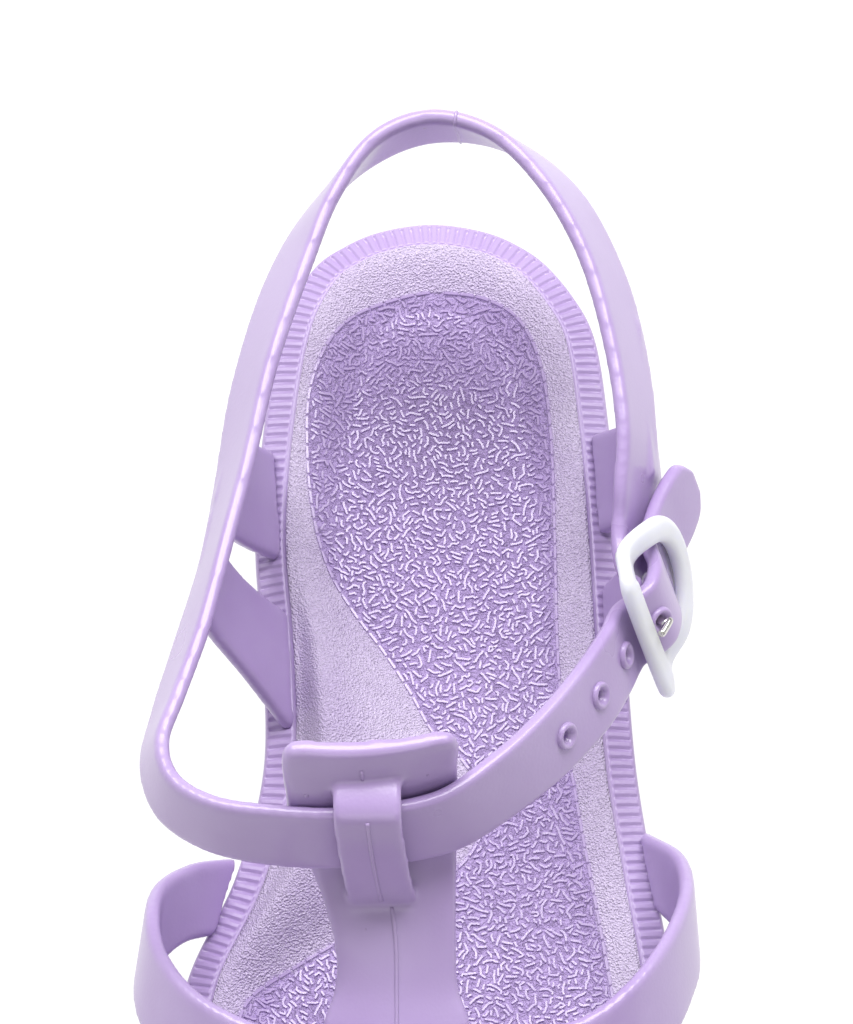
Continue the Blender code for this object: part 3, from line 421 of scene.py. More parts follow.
PROFILE = [
    Profile(0.00, 0.18, 1.00),
    Profile(0.04, 0.00, 1.00),
    Profile(0.28, 0.00, 0.98),
    Profile(0.36, 0.22, 0.92),
    Profile(0.44, 0.34, 0.84),
    Profile(0.52, 0.14, 0.75),
    Profile(0.58, 0.00, 0.70),
    Profile(0.78, 0.00, 0.68),
    Profile(0.88, 0.25, 0.84),
    Profile(1.00, 1.00, 1.22),
]
RIM_WIDTH = 0.005
RIM_RISE = 0.0016
LIP_WIDTH = 0.0012
LIP_RISE = 0.0010
CUP_DEPTH = 0.0034
CUP_REACH = 0.0121
ARCH_RISE = 0.0075
RIB_PITCH = 0.00182
RIB_DEPTH = 0.00036
POINTS_PER_RIB = 8
RAISED_POINTS = 5


def smooth_table(rows, column, along):
    """Columns of a table read at many places, by a monotone cubic through its rows."""
    xs = np.array([row.along for row in rows])
    ys = np.array([getattr(row, column) for row in rows])
    steps = np.diff(xs)
    slopes = np.diff(ys) / steps
    tangents = np.zeros(len(xs))
    same = slopes[:-1] * slopes[1:] > 0
    tangents[1:-1][same] = 2.0 / (1.0 / slopes[:-1][same] + 1.0 / slopes[1:][same])
    x = np.clip(along, xs[0], xs[-1])
    k = np.minimum(np.searchsorted(xs, x, side="right") - 1, len(steps) - 1)
    t = (x - xs[k]) / steps[k]
    rise = (2 * t ** 3 - 3 * t ** 2 + 1) * ys[k] + (3 * t ** 2 - 2 * t ** 3) * ys[k + 1]
    bend = (t ** 3 - 2 * t ** 2 + t) * tangents[k] + (t ** 3 - t ** 2) * tangents[k + 1]
    return rise + steps[k] * bend


def along_of(y):
    """The share of the length at a Y."""
    return 0.5 - np.asarray(y) / LENGTH


def edge_height(y):
    """Height of the rim's outer top edge."""
    return HEEL_EDGE_HEIGHT * smooth_table(PROFILE, "edge", along_of(y))


def under_height(y):
    """Height of the underside."""
    return TOE_SPRING * smooth_table(PROFILE, "under", along_of(y))


def rim_top(y, inset):
    """Height of the rim at a distance in from its edge."""
    return edge_height(y) + RIM_RISE * np.clip(inset / RIM_WIDTH, 0, 1)


heel_tip = place(0.0, HEEL_TIP_ACROSS)
toe_tip = place(1.0, TOE_TIP_ACROSS)
outline_rows = [heel_tip] + [place(row.along, row.lateral) for row in OUTLINE] + [toe_tip]
outline_rows += [place(row.along, row.medial) for row in reversed(OUTLINE)]
outline_length = np.linalg.norm(np.diff(spline(outline_rows, 400, True), axis=0), axis=1).sum()
rib_count = int(round(outline_length / RIB_PITCH))
edge = spline(outline_rows, rib_count * POINTS_PER_RIB, closed=True)[:, :2]
run = np.roll(edge, -1, axis=0) - np.roll(edge, 1, axis=0)
run /= np.linalg.norm(run, axis=1)[:, None]
edge_inward = np.stack([run[:, 1], -run[:, 0]], axis=1)
print("ribs round the rim:", rib_count)

# %% [markdown]
# The sole's rim carries a rib every 1.8 mm all round, as a grip and as trim. It is made
# like a ring of pastry: one closed loop of edges for each step of the rim's section, and
# bridges between neighbouring loops. Five of a rib's eight points stay up and three are
# set lower, which gives flat tops and narrow grooves.

# %% Ribbed rim
Step = namedtuple("Step", "inset drop rib base")
RIM_STEPS = [
    Step(0.0076, 0.0030, 0.0, "lip"),
    Step(0.0066, 0.0008, 0.0, "lip"),
    Step(0.0060, 0.0006, 0.0, "lip"),
    Step(0.0055, 0.0005, 0.0, "lip"),
    Step(0.0052, 0.0003, 0.0, "rim"),
    Step(0.0049, 0.0000, 0.0, "rim"),
    Step(0.0047, -0.0001, 0.3, "rim"),
    Step(0.0044, -0.0001, 1.0, "rim"),
    Step(0.0022, -0.0001, 1.0, "rim"),
    Step(0.0008, 0.0000, 1.0, "rim"),
    Step(0.0006, 0.0000, 0.1, "rim"),
    Step(0.0003, 0.0002, 0.0, "rim"),
    Step(0.0001, 0.0006, 0.0, "rim"),
    Step(0.0000, 0.0012, 0.0, "rim"),
    Step(0.0000, 0.0026, 0.0, "rim"),
    Step(0.0001, 0.0031, 0.0, "rim"),
    Step(0.0004, 0.0030, 0.0, "under"),
    Step(0.0008, 0.0017, 0.0, "under"),
    Step(0.0015, 0.0006, 0.0, "under"),
    Step(0.0029, 0.0000, 0.0, "under"),
    Step(0.0070, -0.0001, 0.0, "under"),
]


def rim_step_height(step, y):
    """Height of one step of the rim's section all the way round."""
    if step.base == "lip":
        return edge_height(y) + RIM_RISE + LIP_RISE - step.drop
    if step.base == "under":
        return under_height(y) + step.drop
    return rim_top(y, step.inset) - step.drop


def edge_loop(bm, points):
    """A closed loop of edges through points."""
    corners = [bm.verts.new(p) for p in points]
    return [bm.edges.new((a, b)) for a, b in zip(corners, corners[1:] + corners[:1])]


def loop_faces(bm, one, two):
    """Bridge two loops of edges."""
    bmesh.ops.bridge_loops(bm, edges=one + two)


grooved = np.arange(len(edge)) % POINTS_PER_RIB >= RAISED_POINTS
bm = bmesh.new()
loops = []
for step in RIM_STEPS:
    cut = np.where(grooved, RIB_DEPTH * step.rib, 0.0)
    flat = edge + edge_inward * step.inset
    height = rim_step_height(step, flat[:, 1]) - cut
    loops.append(edge_loop(bm, np.column_stack([flat, height])))
for one, two in zip(loops, loops[1:] + loops[:1]):
    loop_faces(bm, one, two)
bmesh.ops.recalc_face_normals(bm, faces=bm.faces)
rim_mesh = bpy.data.meshes.new("ribbed_rim")
bm.to_mesh(rim_mesh)
bm.free()
add_piece("ribbed_rim", rim_mesh, "sole", rim_vinyl)

# %% [markdown]
# The footbed is a shallow cup with a raised arch on the inner side. A grid is laid over
# the sole, row by row between the rim's two sides, each point is set to the footbed's
# height, and the sheet gets a thickness. The rows close up towards heel and toe, so that
# the round ends stay round.

# %% Footbed
Zone = namedtuple("Zone", "along medial")
ARCH_FOOT = [
    Zone(0.20, -0.52),
    Zone(0.26, -0.48),
    Zone(0.31, -0.34),
    Zone(0.36, -0.15),
    Zone(0.41, -0.03),
    Zone(0.46, 0.06),
    Zone(0.51, 0.02),
    Zone(0.55, -0.22),
    Zone(0.58, -0.45),
    Zone(0.63, -0.74),
]
BED_EDGE = 0.0057
BED_ROWS = 290
BED_COLUMNS = 84
BED_THICK = 0.0020
coarse_edge = edge[::3]


def edge_distance(x, y):
    """Distance from places to the sole's outline."""
    gap = np.stack([x, y], axis=1)[:, None, :] - coarse_edge[None]
    return np.sqrt((gap ** 2).sum(axis=2)).min(axis=1)


def footbed_height(x, y):
    """Height of the footbed: lip, cup and arch."""
    inset = edge_distance(x, y)
    along = along_of(y)
    start = RIM_WIDTH + LIP_WIDTH
    height = edge_height(y) + RIM_RISE + LIP_RISE
    height = height - CUP_DEPTH * smoothstep((inset - start) / CUP_REACH)
    border = smooth_table(ARCH_FOOT, "medial", along) * BALL_WIDTH / 2 + SIDE_SHIFT
    inner = smooth_table(OUTLINE, "medial", along) * BALL_WIDTH / 2 + SIDE_SHIFT + start
    across = (x - inner) / np.maximum(border - inner, 0.001)
    bell = smoothstep((along - 0.27) / 0.16) * (1 - smoothstep((along - 0.50) / 0.13))
    crown = smoothstep(across / 0.22) * (1 - smoothstep((across - 0.3) / 0.7))
    return height + np.where((across > 0) & (across < 1), ARCH_RISE * bell * crown, 0.0)


def span_at(loop, y):
    """The X of a closed outline's two sides at a Y."""
    ahead = np.roll(loop, -1, axis=0)
    crossing = (loop[:, 1] - y) * (ahead[:, 1] - y) <= 0
    a = loop[crossing]
    b = ahead[crossing]
    t = (y - a[:, 1]) / np.where(a[:, 1] == b[:, 1], 1.0, b[:, 1] - a[:, 1])
    xs = a[:, 0] + t * (b[:, 0] - a[:, 0])
    return xs.min(), xs.max()


def sheet_over_sole(name, inset, rows, columns, height_at, thick):
    """A closed sheet inside the outline. rows gives each row's share of the way, heel to toe."""
    loop = edge + edge_inward * inset
    top = loop[:, 1].max() - 1e-6
    low = loop[:, 1].min() + 1e-6
    bm = bmesh.new()
    bmesh.ops.create_grid(bm, x_segments=columns, y_segments=len(rows) - 1, size=1.0)
    bm.verts.ensure_lookup_table()
    spans = [span_at(loop, top + (low - top) * share) for share in rows]
    flat = []
    for vert in bm.verts:
        row = int(round((vert.co.y + 1) / 2 * (len(rows) - 1)))
        left, right = spans[row]
        across = (vert.co.x + 1) / 2
        flat.append((left + (right - left) * across, top + (low - top) * rows[row]))
    flat = np.array(flat)
    heights = height_at(flat[:, 0], flat[:, 1])
    for vert, place_at, height in zip(bm.verts, flat, heights):
        vert.co = (*place_at, height)
    bmesh.ops.recalc_face_normals(bm, faces=bm.faces)
    if sum(face.normal.z for face in bm.faces) < 0:
        bmesh.ops.reverse_faces(bm, faces=bm.faces)
    bmesh.ops.solidify(bm, geom=bm.faces[:], thickness=thick)
    bmesh.ops.recalc_face_normals(bm, faces=bm.faces)
    mesh = bpy.data.meshes.new(name)
    bm.to_mesh(mesh)
    bm.free()
    return mesh


rows = (1 - np.cos(np.linspace(0, math.pi, BED_ROWS))) / 2
bed_mesh = sheet_over_sole("footbed", BED_EDGE, rows, BED_COLUMNS, footbed_height, BED_THICK)
footbed = add_piece("footbed", bed_mesh, "sole", footbed_vinyl)

# %% [markdown]
# The photo doesn't show the underside. It gets plain lugs between cross grooves, as on
# the solids: rows of the sheet stand at each groove's walls and floor.

# %% Treaded underside
TREAD_PITCH = 0.0085
TREAD_GROOVE = 0.0022
TREAD_DEPTH = 0.0013
TREAD_RUNS = ((0.075, 0.265), (0.600, 0.760))
GROOVE_WALL = 0.0002
TREAD_EDGE = 0.0024
TREAD_THICK = 0.0022
TREAD_ROWS = 60
TREAD_COLUMNS = 24


def groove_places():
    """The Y of each groove's middle."""
    places = []
    for start, end in TREAD_RUNS:
        count = int((end - start) * LENGTH / TREAD_PITCH)
        places += [LENGTH * (0.5 - start) - k * TREAD_PITCH for k in range(count + 1)]
    return places


def tread_height(x, y):
    """Height of the underside with its grooves."""
    depth = np.zeros(len(y))
    for middle in groove_places():
        side = TREAD_GROOVE / 2 - np.abs(y - middle)
        depth = np.maximum(depth, np.clip(side / GROOVE_WALL, 0, 1) * TREAD_DEPTH)
    return under_height(y) + depth


loop = edge + edge_inward * TREAD_EDGE
heel_y = loop[:, 1].max()
toe_y = loop[:, 1].min()
shares = list((1 - np.cos(np.linspace(0, math.pi, TREAD_ROWS))) / 2)
for middle in groove_places():
    for off in (-TREAD_GROOVE / 2, GROOVE_WALL - TREAD_GROOVE / 2,
                TREAD_GROOVE / 2 - GROOVE_WALL, TREAD_GROOVE / 2):
        shares.append((heel_y - middle - off) / (heel_y - toe_y))
tread_rows = np.array(sorted(shares))
tread_mesh = sheet_over_sole("treaded_underside", TREAD_EDGE, tread_rows, TREAD_COLUMNS,
                             tread_height, TREAD_THICK)
for vert in tread_mesh.vertices:
    vert.co.z = max(vert.co.z, 0.0)
add_piece("treaded_underside", tread_mesh, "sole", tread_vinyl)

# %% [markdown]
# The middle of the footbed is embossed with short worm-like ridges that lie in every
# direction and never cross, inside a border of longer dashes. Each ridge is grown like a
# root: from a free spot it steps forwards, turns a little, and stops where it would come
# too near another. A raster of the taken places keeps the search short. Thousands of
# tiny ridges are too many for operators, so their few points are listed in one go.

# %% Where the embossing lies
Border = namedtuple("Border", "y medial lateral")
BORDER = [
    Border(110.4, -2.0, 1.5),
    Border(109.2, -7.2, 8.2),
    Border(106.0, -14.2, 13.6),
    Border(101.4, -18.8, 16.9),
    Border(95.0, -21.9, 19.1),
    Border(88.0, -23.6, 20.3),
    Border(77.0, -23.8, 21.1),
    Border(69.6, -23.3, 21.3),
    Border(60.4, -21.8, 21.5),
    Border(53.0, -19.3, 21.6),
    Border(46.2, -15.3, 21.7),
    Border(38.3, -9.7, 21.9),
    Border(30.5, -4.9, 22.3),
    Border(22.5, -0.6, 23.1),
    Border(17.5, 4.4, 23.8),
    Border(11.0, 8.0, 24.8),
    Border(4.0, 8.2, 25.9),
    Border(-2.0, 5.0, 26.9),
    Border(-8.0, -2.2, 27.9),
    Border(-13.0, -10.2, 28.8),
    Border(-17.8, -18.3, 29.6),
    Border(-23.0, -26.2, 30.4),
    Border(-29.3, -33.6, 31.4),
    Border(-36.0, -36.0, 32.3),
    Border(-45.0, -36.6, 32.8),
    Border(-60.0, -36.0, 31.3),
    Border(-75.0, -34.2, 27.0),
    Border(-88.0, -31.0, 20.5),
    Border(-98.0, -27.0, 12.6),
    Border(-105.0, -22.0, 4.5),
    Border(-109.5, -15.0, -5.0),
]
border_rows = [(row.lateral + SIDE_SHIFT / MM, row.y, 0) for row in BORDER]
border_rows += [(row.medial + SIDE_SHIFT / MM, row.y, 0) for row in reversed(BORDER)]
border_line = spline(border_rows, 1600, closed=True)[:, :2]
CELL = 0.1
LOW_X = -42.0
LOW_Y = -114.0
CELLS_X = 880
CELLS_Y = 2280


def cells_in(line):
    """Mask of the raster's cells inside a closed line, row by row."""
    mask = np.zeros((CELLS_Y, CELLS_X), dtype=bool)
    xs = LOW_X + CELL * (np.arange(CELLS_X) + 0.5)
    for j in range(CELLS_Y):
        y = LOW_Y + CELL * (j + 0.5)
        if line[:, 1].min() < y < line[:, 1].max():
            left, right = span_at(line, y)
            mask[j] = (xs > left) & (xs < right)
    return mask


inside = cells_in(border_line)
# This mask also darkens the embossed floor's colour: painted shade between the ridges
pattern = footbed.data.attributes.new("pattern", "FLOAT", "POINT")
for vert, value in zip(footbed.data.vertices, pattern.data):
    row = int(np.clip((vert.co.y / MM - LOW_Y) / CELL, 0, CELLS_Y - 1))
    column = int(np.clip((vert.co.x / MM - LOW_X) / CELL, 0, CELLS_X - 1))
    value.value = float(inside[row, column])
print("embossed area", round(inside.sum() * CELL * CELL / 100, 1), "square cm")

# %% [markdown]
# Each free spot is tried once, in a shuffled order with a fixed seed, so every run
# grows the same ridges. Lengths here are in millimetres.

# %% Growing the ridges
RIDGE_GAP = 0.56
BORDER_GAP = 0.70
STEP_LENGTH = 0.50
DASH_LENGTH = 2.7
DASH_GAP = 0.55
MAX_STEPS = 5
TURN = 0.85
LATER_TURN = 0.35
KINK_CHANCE = 0.16
STUB_GAP = 0.25
random = np.random.default_rng(7)


def stamp(radius):
    """Offsets of the cells within a radius."""
    reach = int(math.ceil(radius / CELL))
    dy, dx = np.mgrid[-reach:reach + 1, -reach:reach + 1]
    near = dx ** 2 + dy ** 2 <= (radius / CELL) ** 2
    return dy[near], dx[near]


free = inside.copy()
border_stamp = stamp(BORDER_GAP)
gap_stamp = stamp(RIDGE_GAP)


def cell_of(point):
    """The raster's cell at a point."""
    return int((point[1] - LOW_Y) / CELL), int((point[0] - LOW_X) / CELL)


def take(point, shape):
    """Mark the cells round a point as taken."""
    j, i = cell_of(point)
    rows = np.clip(j + shape[0], 0, CELLS_Y - 1)
    columns = np.clip(i + shape[1], 0, CELLS_X - 1)
    free[rows, columns] = False


for point in border_line:
    take(point, border_stamp)
ridges = []
border_run = np.linalg.norm(np.diff(border_line, axis=0), axis=1).sum()
points_per_mm = len(border_line) / border_run
dash_points = int(DASH_LENGTH * points_per_mm)
dash_pitch = int((DASH_LENGTH + DASH_GAP) * points_per_mm)
for start in range(0, len(border_line) - dash_points, dash_pitch):
    stretch = border_line[start:start + dash_points:max(dash_points // 5, 1)]
    ridges.append(stretch)
dash_count = len(ridges)


def grow(seed):
    """One ridge from a free spot: a few steps both ways with small turns."""
    heading = random.uniform(0, 2 * math.pi)
    halves = []
    for way in (0.0, math.pi):
        here = seed
        angle = heading + way
        half = []
        for _ in range(random.integers(1, MAX_STEPS)):
            angle += random.normal(0, 1) * TURN * (LATER_TURN if half else 0.0)
            if random.random() < KINK_CHANCE:
                angle += random.choice((-1.0, 1.0))
            ahead = here + STEP_LENGTH * np.array([math.cos(angle), math.sin(angle)])
            j, i = cell_of(ahead)
            if not free[j, i]:
                break
            half.append(ahead)
            here = ahead
        halves.append(half)
    return np.array(halves[1][::-1] + [seed] + halves[0])


open_cells = np.argwhere(free)
random.shuffle(open_cells)
for j, i in open_cells:
    if not free[j, i]:
        continue
    seed = np.array([LOW_X + CELL * (i + 0.5), LOW_Y + CELL * (j + 0.5)])
    ridge = grow(seed)
    if len(ridge) < 3:
        take(seed, stamp(STUB_GAP))
        continue
    ridges.append(ridge)
    for point in ridge:
        take(point, gap_stamp)
print("ridges", len(ridges) - dash_count, "and border dashes", dash_count)

# %% [markdown]
# A ridge has four points at each station: two at its foot and two on its crest. Its
# foot is sunk a little into the footbed and its ends are pinched.

# %% Embossed ridges as a mesh
RIDGE_HALF_WIDTH = 0.29
CREST_HALF_WIDTH = 0.19
RIDGE_HEIGHT = 0.30
DASH_WIDE = 1.1
RIDGE_SUNK = 0.10
END_WIDE = 0.35
END_SUNK = 0.3


def ridge_ring(line, wide):
    """Four points for each station of a ridge: foot, two of the crest, foot; ends pinched."""
    run = np.gradient(line, axis=0)
    run /= np.maximum(np.linalg.norm(run, axis=1), 1e-9)[:, None]
    line = np.concatenate([line[:1] - run[:1] * RIDGE_HALF_WIDTH, line,
                           line[-1:] + run[-1:] * RIDGE_HALF_WIDTH])
    run = np.concatenate([run[:1], run, run[-1:]])
    side = np.stack([-run[:, 1], run[:, 0]], axis=1)
    share = np.full((len(line), 1), wide)
    share[[0, -1]] = END_WIDE
    return [line + side * offset * share for offset in
            (RIDGE_HALF_WIDTH, CREST_HALF_WIDTH, -CREST_HALF_WIDTH, -RIDGE_HALF_WIDTH)]


flat = []
lift = []
faces = []
for index, line in enumerate(ridges):
    rows = ridge_ring(line, DASH_WIDE if index < dash_count else 1.0)
    count = len(rows[0])
    base = len(flat)
    for k in range(count):
        flat += [rows[c][k] for c in range(4)]
        crest = -RIDGE_SUNK * END_SUNK if k in (0, count - 1) else RIDGE_HEIGHT
        lift += [-RIDGE_SUNK, crest, crest, -RIDGE_SUNK]
    for k in range(count - 1):
        a = base + 4 * k
        faces += [(a + c, a + 4 + c, a + 4 + (c + 1) % 4, a + (c + 1) % 4) for c in range(4)]
    end = base + 4 * (count - 1)
    faces += [(base, base + 1, base + 2, base + 3), (end + 3, end + 2, end + 1, end)]
flat = np.array(flat) * MM
surface = np.concatenate([footbed_height(part[:, 0], part[:, 1])
                          for part in np.array_split(flat, 40)])
relief_mesh = bpy.data.meshes.new("footbed_relief")
relief_mesh.from_pydata(np.column_stack([flat, surface + np.array(lift) * MM]).tolist(), [], faces)
bm = bmesh.new()
bm.from_mesh(relief_mesh)
bmesh.ops.recalc_face_normals(bm, faces=bm.faces)
bm.to_mesh(relief_mesh)
bm.free()
add_piece("footbed_relief", relief_mesh, "sole", relief_vinyl)
relief_mesh.shade_flat()

# %% [markdown]
# Every strap is a wall with rounded edges. A section is repeated along two edge lines and
# skinned: a grid is wrapped round the sections and sewn up. Walls that grow out of each
# other are joined by a voxel remesh and smoothed a little, which also gives the soft
# fillets of a moulding. The tables are those of the solids.

# %% Skins and mouldings
CORNER_POINTS = 6
WALL_COLUMNS = 12
SOFT_PASSES = 6


def wall_section(width, thick, across_points=6, bow=0.0):
    """Points round a wall's section in (across, through) pairs, with round corners."""
    radius = 0.45 * thick
    w = width / 2 - radius
    t = thick / 2 - radius
    turns = np.radians(np.linspace(0, 90, CORNER_POINTS))
    corner = np.stack([w + radius * np.cos(turns), t + radius * np.sin(turns)], axis=1)
    face = np.stack([np.linspace(w, -w, across_points + 2)[1:-1],
                     np.full(across_points, thick / 2)], axis=1)
    half = np.concatenate([corner, face, corner[::-1] * (-1, 1)])
    points = np.concatenate([half, -half])
    points[:, 1] += bow * (1 - (2 * points[:, 0] / width) ** 2)
    return points


def skin(rings, closed=False):
    """A closed mesh through rings of points, sewn along its seam and capped at its ends."""
    rings = np.asarray(rings)
    total, count = rings.shape[:2]
    spans = total if closed else total - 1
    bm = bmesh.new()
    bmesh.ops.create_grid(bm, x_segments=count, y_segments=spans, size=1.0)
    for vert in bm.verts:
        column = int(round((vert.co.x + 1) / 2 * count)) % count
        row = int(round((vert.co.y + 1) / 2 * spans)) % total
        vert.co = rings[row, column]
    bmesh.ops.remove_doubles(bm, verts=bm.verts, dist=0.000001)
    rims = [e for e in bm.edges if e.is_boundary]
    if rims:
        bmesh.ops.holes_fill(bm, edges=rims, sides=0)
    bmesh.ops.recalc_face_normals(bm, faces=bm.faces)
    mesh = bpy.data.meshes.new("skin")
    bm.to_mesh(mesh)
    bm.free()
    return mesh


def wall_skin(upper, lower, thick, closed=False, outward=None, across_points=6, bows=None):
    """A wall between two edge lines. With outward, they are edges of its inner face."""
    middle = (upper + lower) / 2
    if closed:
        tangent = np.roll(middle, -1, axis=0) - np.roll(middle, 1, axis=0)
    else:
        tangent = np.gradient(middle, axis=0)
    across = lower - upper
    width = np.linalg.norm(across, axis=1)
    across /= width[:, None]
    normal = np.cross(tangent, across)
    normal /= np.linalg.norm(normal, axis=1)[:, None]
    if outward is not None:
        if (normal * (middle - outward)).sum() < 0:
            normal = -normal
        middle = middle + normal * thick / 2
    if bows is None:
        bows = np.zeros(len(middle))
    rings = []
    for centre, side, out, wide, bow in zip(middle, across, normal, width, bows):
        points = wall_section(max(wide, 1.02 * thick), thick, across_points, bow)
        rings.append(centre + points[:, :1] * side + points[:, 1:] * out)
    return skin(rings, closed)


def changed(mesh, kind, **settings):
    """The mesh after one modifier."""
    holder = bpy.data.objects.new("holder", mesh)
    bpy.context.scene.collection.objects.link(holder)
    modifier = holder.modifiers.new("step", kind)
    for key, value in settings.items():
        setattr(modifier, key, value)
    graph = bpy.context.evaluated_depsgraph_get()
    made = bpy.data.meshes.new_from_object(holder.evaluated_get(graph))
    bpy.data.objects.remove(holder)
    return made


def joined(meshes):
    """Several meshes as one."""
    bm = bmesh.new()
    for mesh in meshes:
        bm.from_mesh(mesh)
    made = bpy.data.meshes.new("joined")
    bm.to_mesh(made)
    bm.free()
    return made


def moulded(meshes, voxel, passes):
    """Walls melted into one moulding with soft fillets."""
    made = changed(joined(meshes), "REMESH", mode="VOXEL", voxel_size=voxel)
    bm = bmesh.new()
    bm.from_mesh(made)
    for _ in range(passes):
        bmesh.ops.smooth_vert(bm, verts=bm.verts, factor=0.5, use_axis_x=True,
                              use_axis_y=True, use_axis_z=True)
    bm.to_mesh(made)
    bm.free()
    return made


def cut_out(mesh, tools):
    """The mesh without the tools' bodies."""
    cutter = bpy.data.objects.new("cutter", joined(tools))
    bpy.context.scene.collection.objects.link(cutter)
    made = changed(mesh, "BOOLEAN", operation="DIFFERENCE", solver="EXACT", object=cutter)
    bpy.data.objects.remove(cutter)
    return made


print("skins and mouldings are ready")

# %% [markdown]
# The band, the ankle strap, the legs and the knuckle follow tables of places. A row
# gives a section's place and size, and splines fill in between the rows.

# %% Heel band and ankle strap tables
STRAP_WIDTH = 0.015
BAND_WIDTH = 0.019
FRAME_FRONT = 0.0100
FOOT_MIDDLE_Y = LENGTH * 0.2
LOOP_STATIONS = 800
LEG_STATIONS = 60
# Inner top edge of the heel band and ankle strap, from behind the buckle round the heel:
# height is a share of INSTEP_HEIGHT, width of BAND_WIDTH, lean in degrees from upright
Loop = namedtuple("Loop", "along across height width lean")
HEEL_LOOP = [
    Loop(0.300, 0.668, 0.768, 0.88, 21),
    Loop(0.259, 0.680, 0.805, 0.95, 20),
    Loop(0.197, 0.635, 0.832, 1.00, 23),
    Loop(0.127, 0.529, 0.860, 1.00, 26),
    Loop(0.073, 0.362, 0.886, 0.97, 28),
    Loop(0.040, 0.180, 0.903, 0.93, 21),
    Loop(0.029, -0.030, 0.905, 0.92, 13),
    Loop(0.043, -0.215, 0.899, 0.95, 12),
    Loop(0.085, -0.368, 0.880, 0.97, 20),
    Loop(0.133, -0.464, 0.865, 1.00, 26),
    Loop(0.212, -0.602, 0.845, 1.00, 24),
    Loop(0.287, -0.692, 0.826, 0.97, 20),
    Loop(0.344, -0.767, 0.822, 0.92, 17),
    Loop(0.418, -0.859, 0.830, 0.84, 21),
    Loop(0.473, -0.950, 0.852, 0.81, 19),
    Loop(0.511, -1.010, 0.878, 0.79, 14),
    Loop(0.538, -0.970, 0.905, 0.79, 12),
    Loop(0.558, -0.830, 0.940, 0.79, 14),
    Loop(0.569, -0.600, 0.975, 0.79, 18),
    Loop(0.574, -0.387, 1.000, 0.79, 18),
    Loop(0.571, -0.200, 1.000, 0.79, 18),
    Loop(0.560, 0.000, 0.988, 0.79, 20),
    Loop(0.532, 0.180, 0.960, 0.79, 24),
    Loop(0.500, 0.333, 0.920, 0.79, 28),
    Loop(0.458, 0.490, 0.868, 0.79, 30),
]

# Middle of the buckle's axle, and the way that the strap runs through it
BUCKLE_ALONG = 0.381
BUCKLE_ACROSS = 0.785
BUCKLE_HEIGHT = 0.674
BUCKLE_HEADING = 14.5
BUCKLE_RISE = 19.0
BUCKLE_LEAN = 22.0

# Middle of the wall near the axle, in the buckle's own axes: toe_ward, upward and outward
# are lengths in shares of FRAME_FRONT, width a share of STRAP_WIDTH
Pass = namedtuple("Pass", "toe_ward upward outward width")
BAND_END = [
    Pass(-0.14, 0.00, -0.10, 0.86),
    Pass(-0.55, 0.12, -0.33, 0.90),
    Pass(-1.15, 0.40, -0.40, 1.00),
]
STRAP_END = [
    Pass(1.35, 0.05, -0.12, 1.00),
    Pass(1.00, 0.02, -0.10, 1.00),
    Pass(0.72, 0.01, -0.04, 1.00),
    Pass(0.42, 0.00, 0.24, 1.00),
    Pass(0.18, 0.00, 0.39, 1.00),
    Pass(-0.10, 0.00, 0.41, 1.00),
    Pass(-0.45, 0.00, 0.34, 1.00),
    Pass(-0.92, 0.00, 0.11, 1.00),
    Pass(-1.40, 0.00, 0.02, 1.00),
    Pass(-2.05, 0.02, 0.05, 1.00),
    Pass(-2.60, 0.04, 0.14, 0.96),
    Pass(-2.95, 0.06, 0.20, 0.80),
    Pass(-3.12, 0.07, 0.23, 0.46),
]

# Legs of the heel band: across at the back and front edge, along at the back and
# front edge, and height, from the band down to the sole
Leg = namedtuple("Leg", "height back_along back_across front_along front_across")
REAR_LEG_MEDIAL = [
    Leg(0.665, 0.160, -0.668, 0.300, -0.845),
    Leg(0.560, 0.182, -0.755, 0.296, -0.862),
    Leg(0.450, 0.194, -0.795, 0.291, -0.845),
    Leg(0.320, 0.198, -0.765, 0.285, -0.770),
    Leg(0.000, 0.190, -0.672, 0.278, -0.640),
]
FRONT_LEG_MEDIAL = [
    Leg(0.650, 0.300, -0.850, 0.392, -0.940),
    Leg(0.560, 0.306, -0.866, 0.373, -0.925),
    Leg(0.450, 0.309, -0.845, 0.377, -0.870),
    Leg(0.320, 0.313, -0.765, 0.390, -0.745),
    Leg(0.000, 0.319, -0.612, 0.412, -0.585),
]
REAR_LEG_LATERAL = [
    Leg(0.665, 0.150, 0.765, 0.278, 0.815),
    Leg(0.560, 0.170, 0.800, 0.274, 0.850),
    Leg(0.450, 0.180, 0.812, 0.268, 0.850),
    Leg(0.320, 0.184, 0.770, 0.263, 0.785),
    Leg(0.000, 0.176, 0.635, 0.258, 0.662),
]
FRONT_LEG_LATERAL = [
    Leg(0.640, 0.270, 0.808, 0.338, 0.762),
    Leg(0.560, 0.280, 0.842, 0.342, 0.806),
    Leg(0.450, 0.287, 0.840, 0.349, 0.812),
    Leg(0.320, 0.293, 0.780, 0.362, 0.780),
    Leg(0.000, 0.298, 0.672, 0.384, 0.690),
]


def buckle_axes():
    """The axle's middle, and unit vectors toe-ward along the strap, up across it, and outward."""
    centre = place(BUCKLE_ALONG, BUCKLE_ACROSS, BUCKLE_HEIGHT)
    heading = math.radians(BUCKLE_HEADING)
    rise = math.radians(BUCKLE_RISE)
    lean = math.radians(BUCKLE_LEAN)
    toe_ward = Vector((-math.sin(heading) * math.cos(rise), -math.cos(heading) * math.cos(rise),
                       math.sin(rise)))
    level = Vector((math.cos(heading), -math.sin(heading), 0))
    steep = toe_ward.cross(level)
    if steep.z < 0:
        steep = -steep
    upward = steep * math.cos(lean) - level * math.sin(lean)
    outward = level * math.cos(lean) + steep * math.sin(lean)
    return centre, toe_ward, upward, outward


def buckle_point(toe_ward, upward, outward):
    """A point in the buckle's own axes."""
    centre, a, b, n = buckle_axes()
    return centre + a * toe_ward + b * upward + n * outward


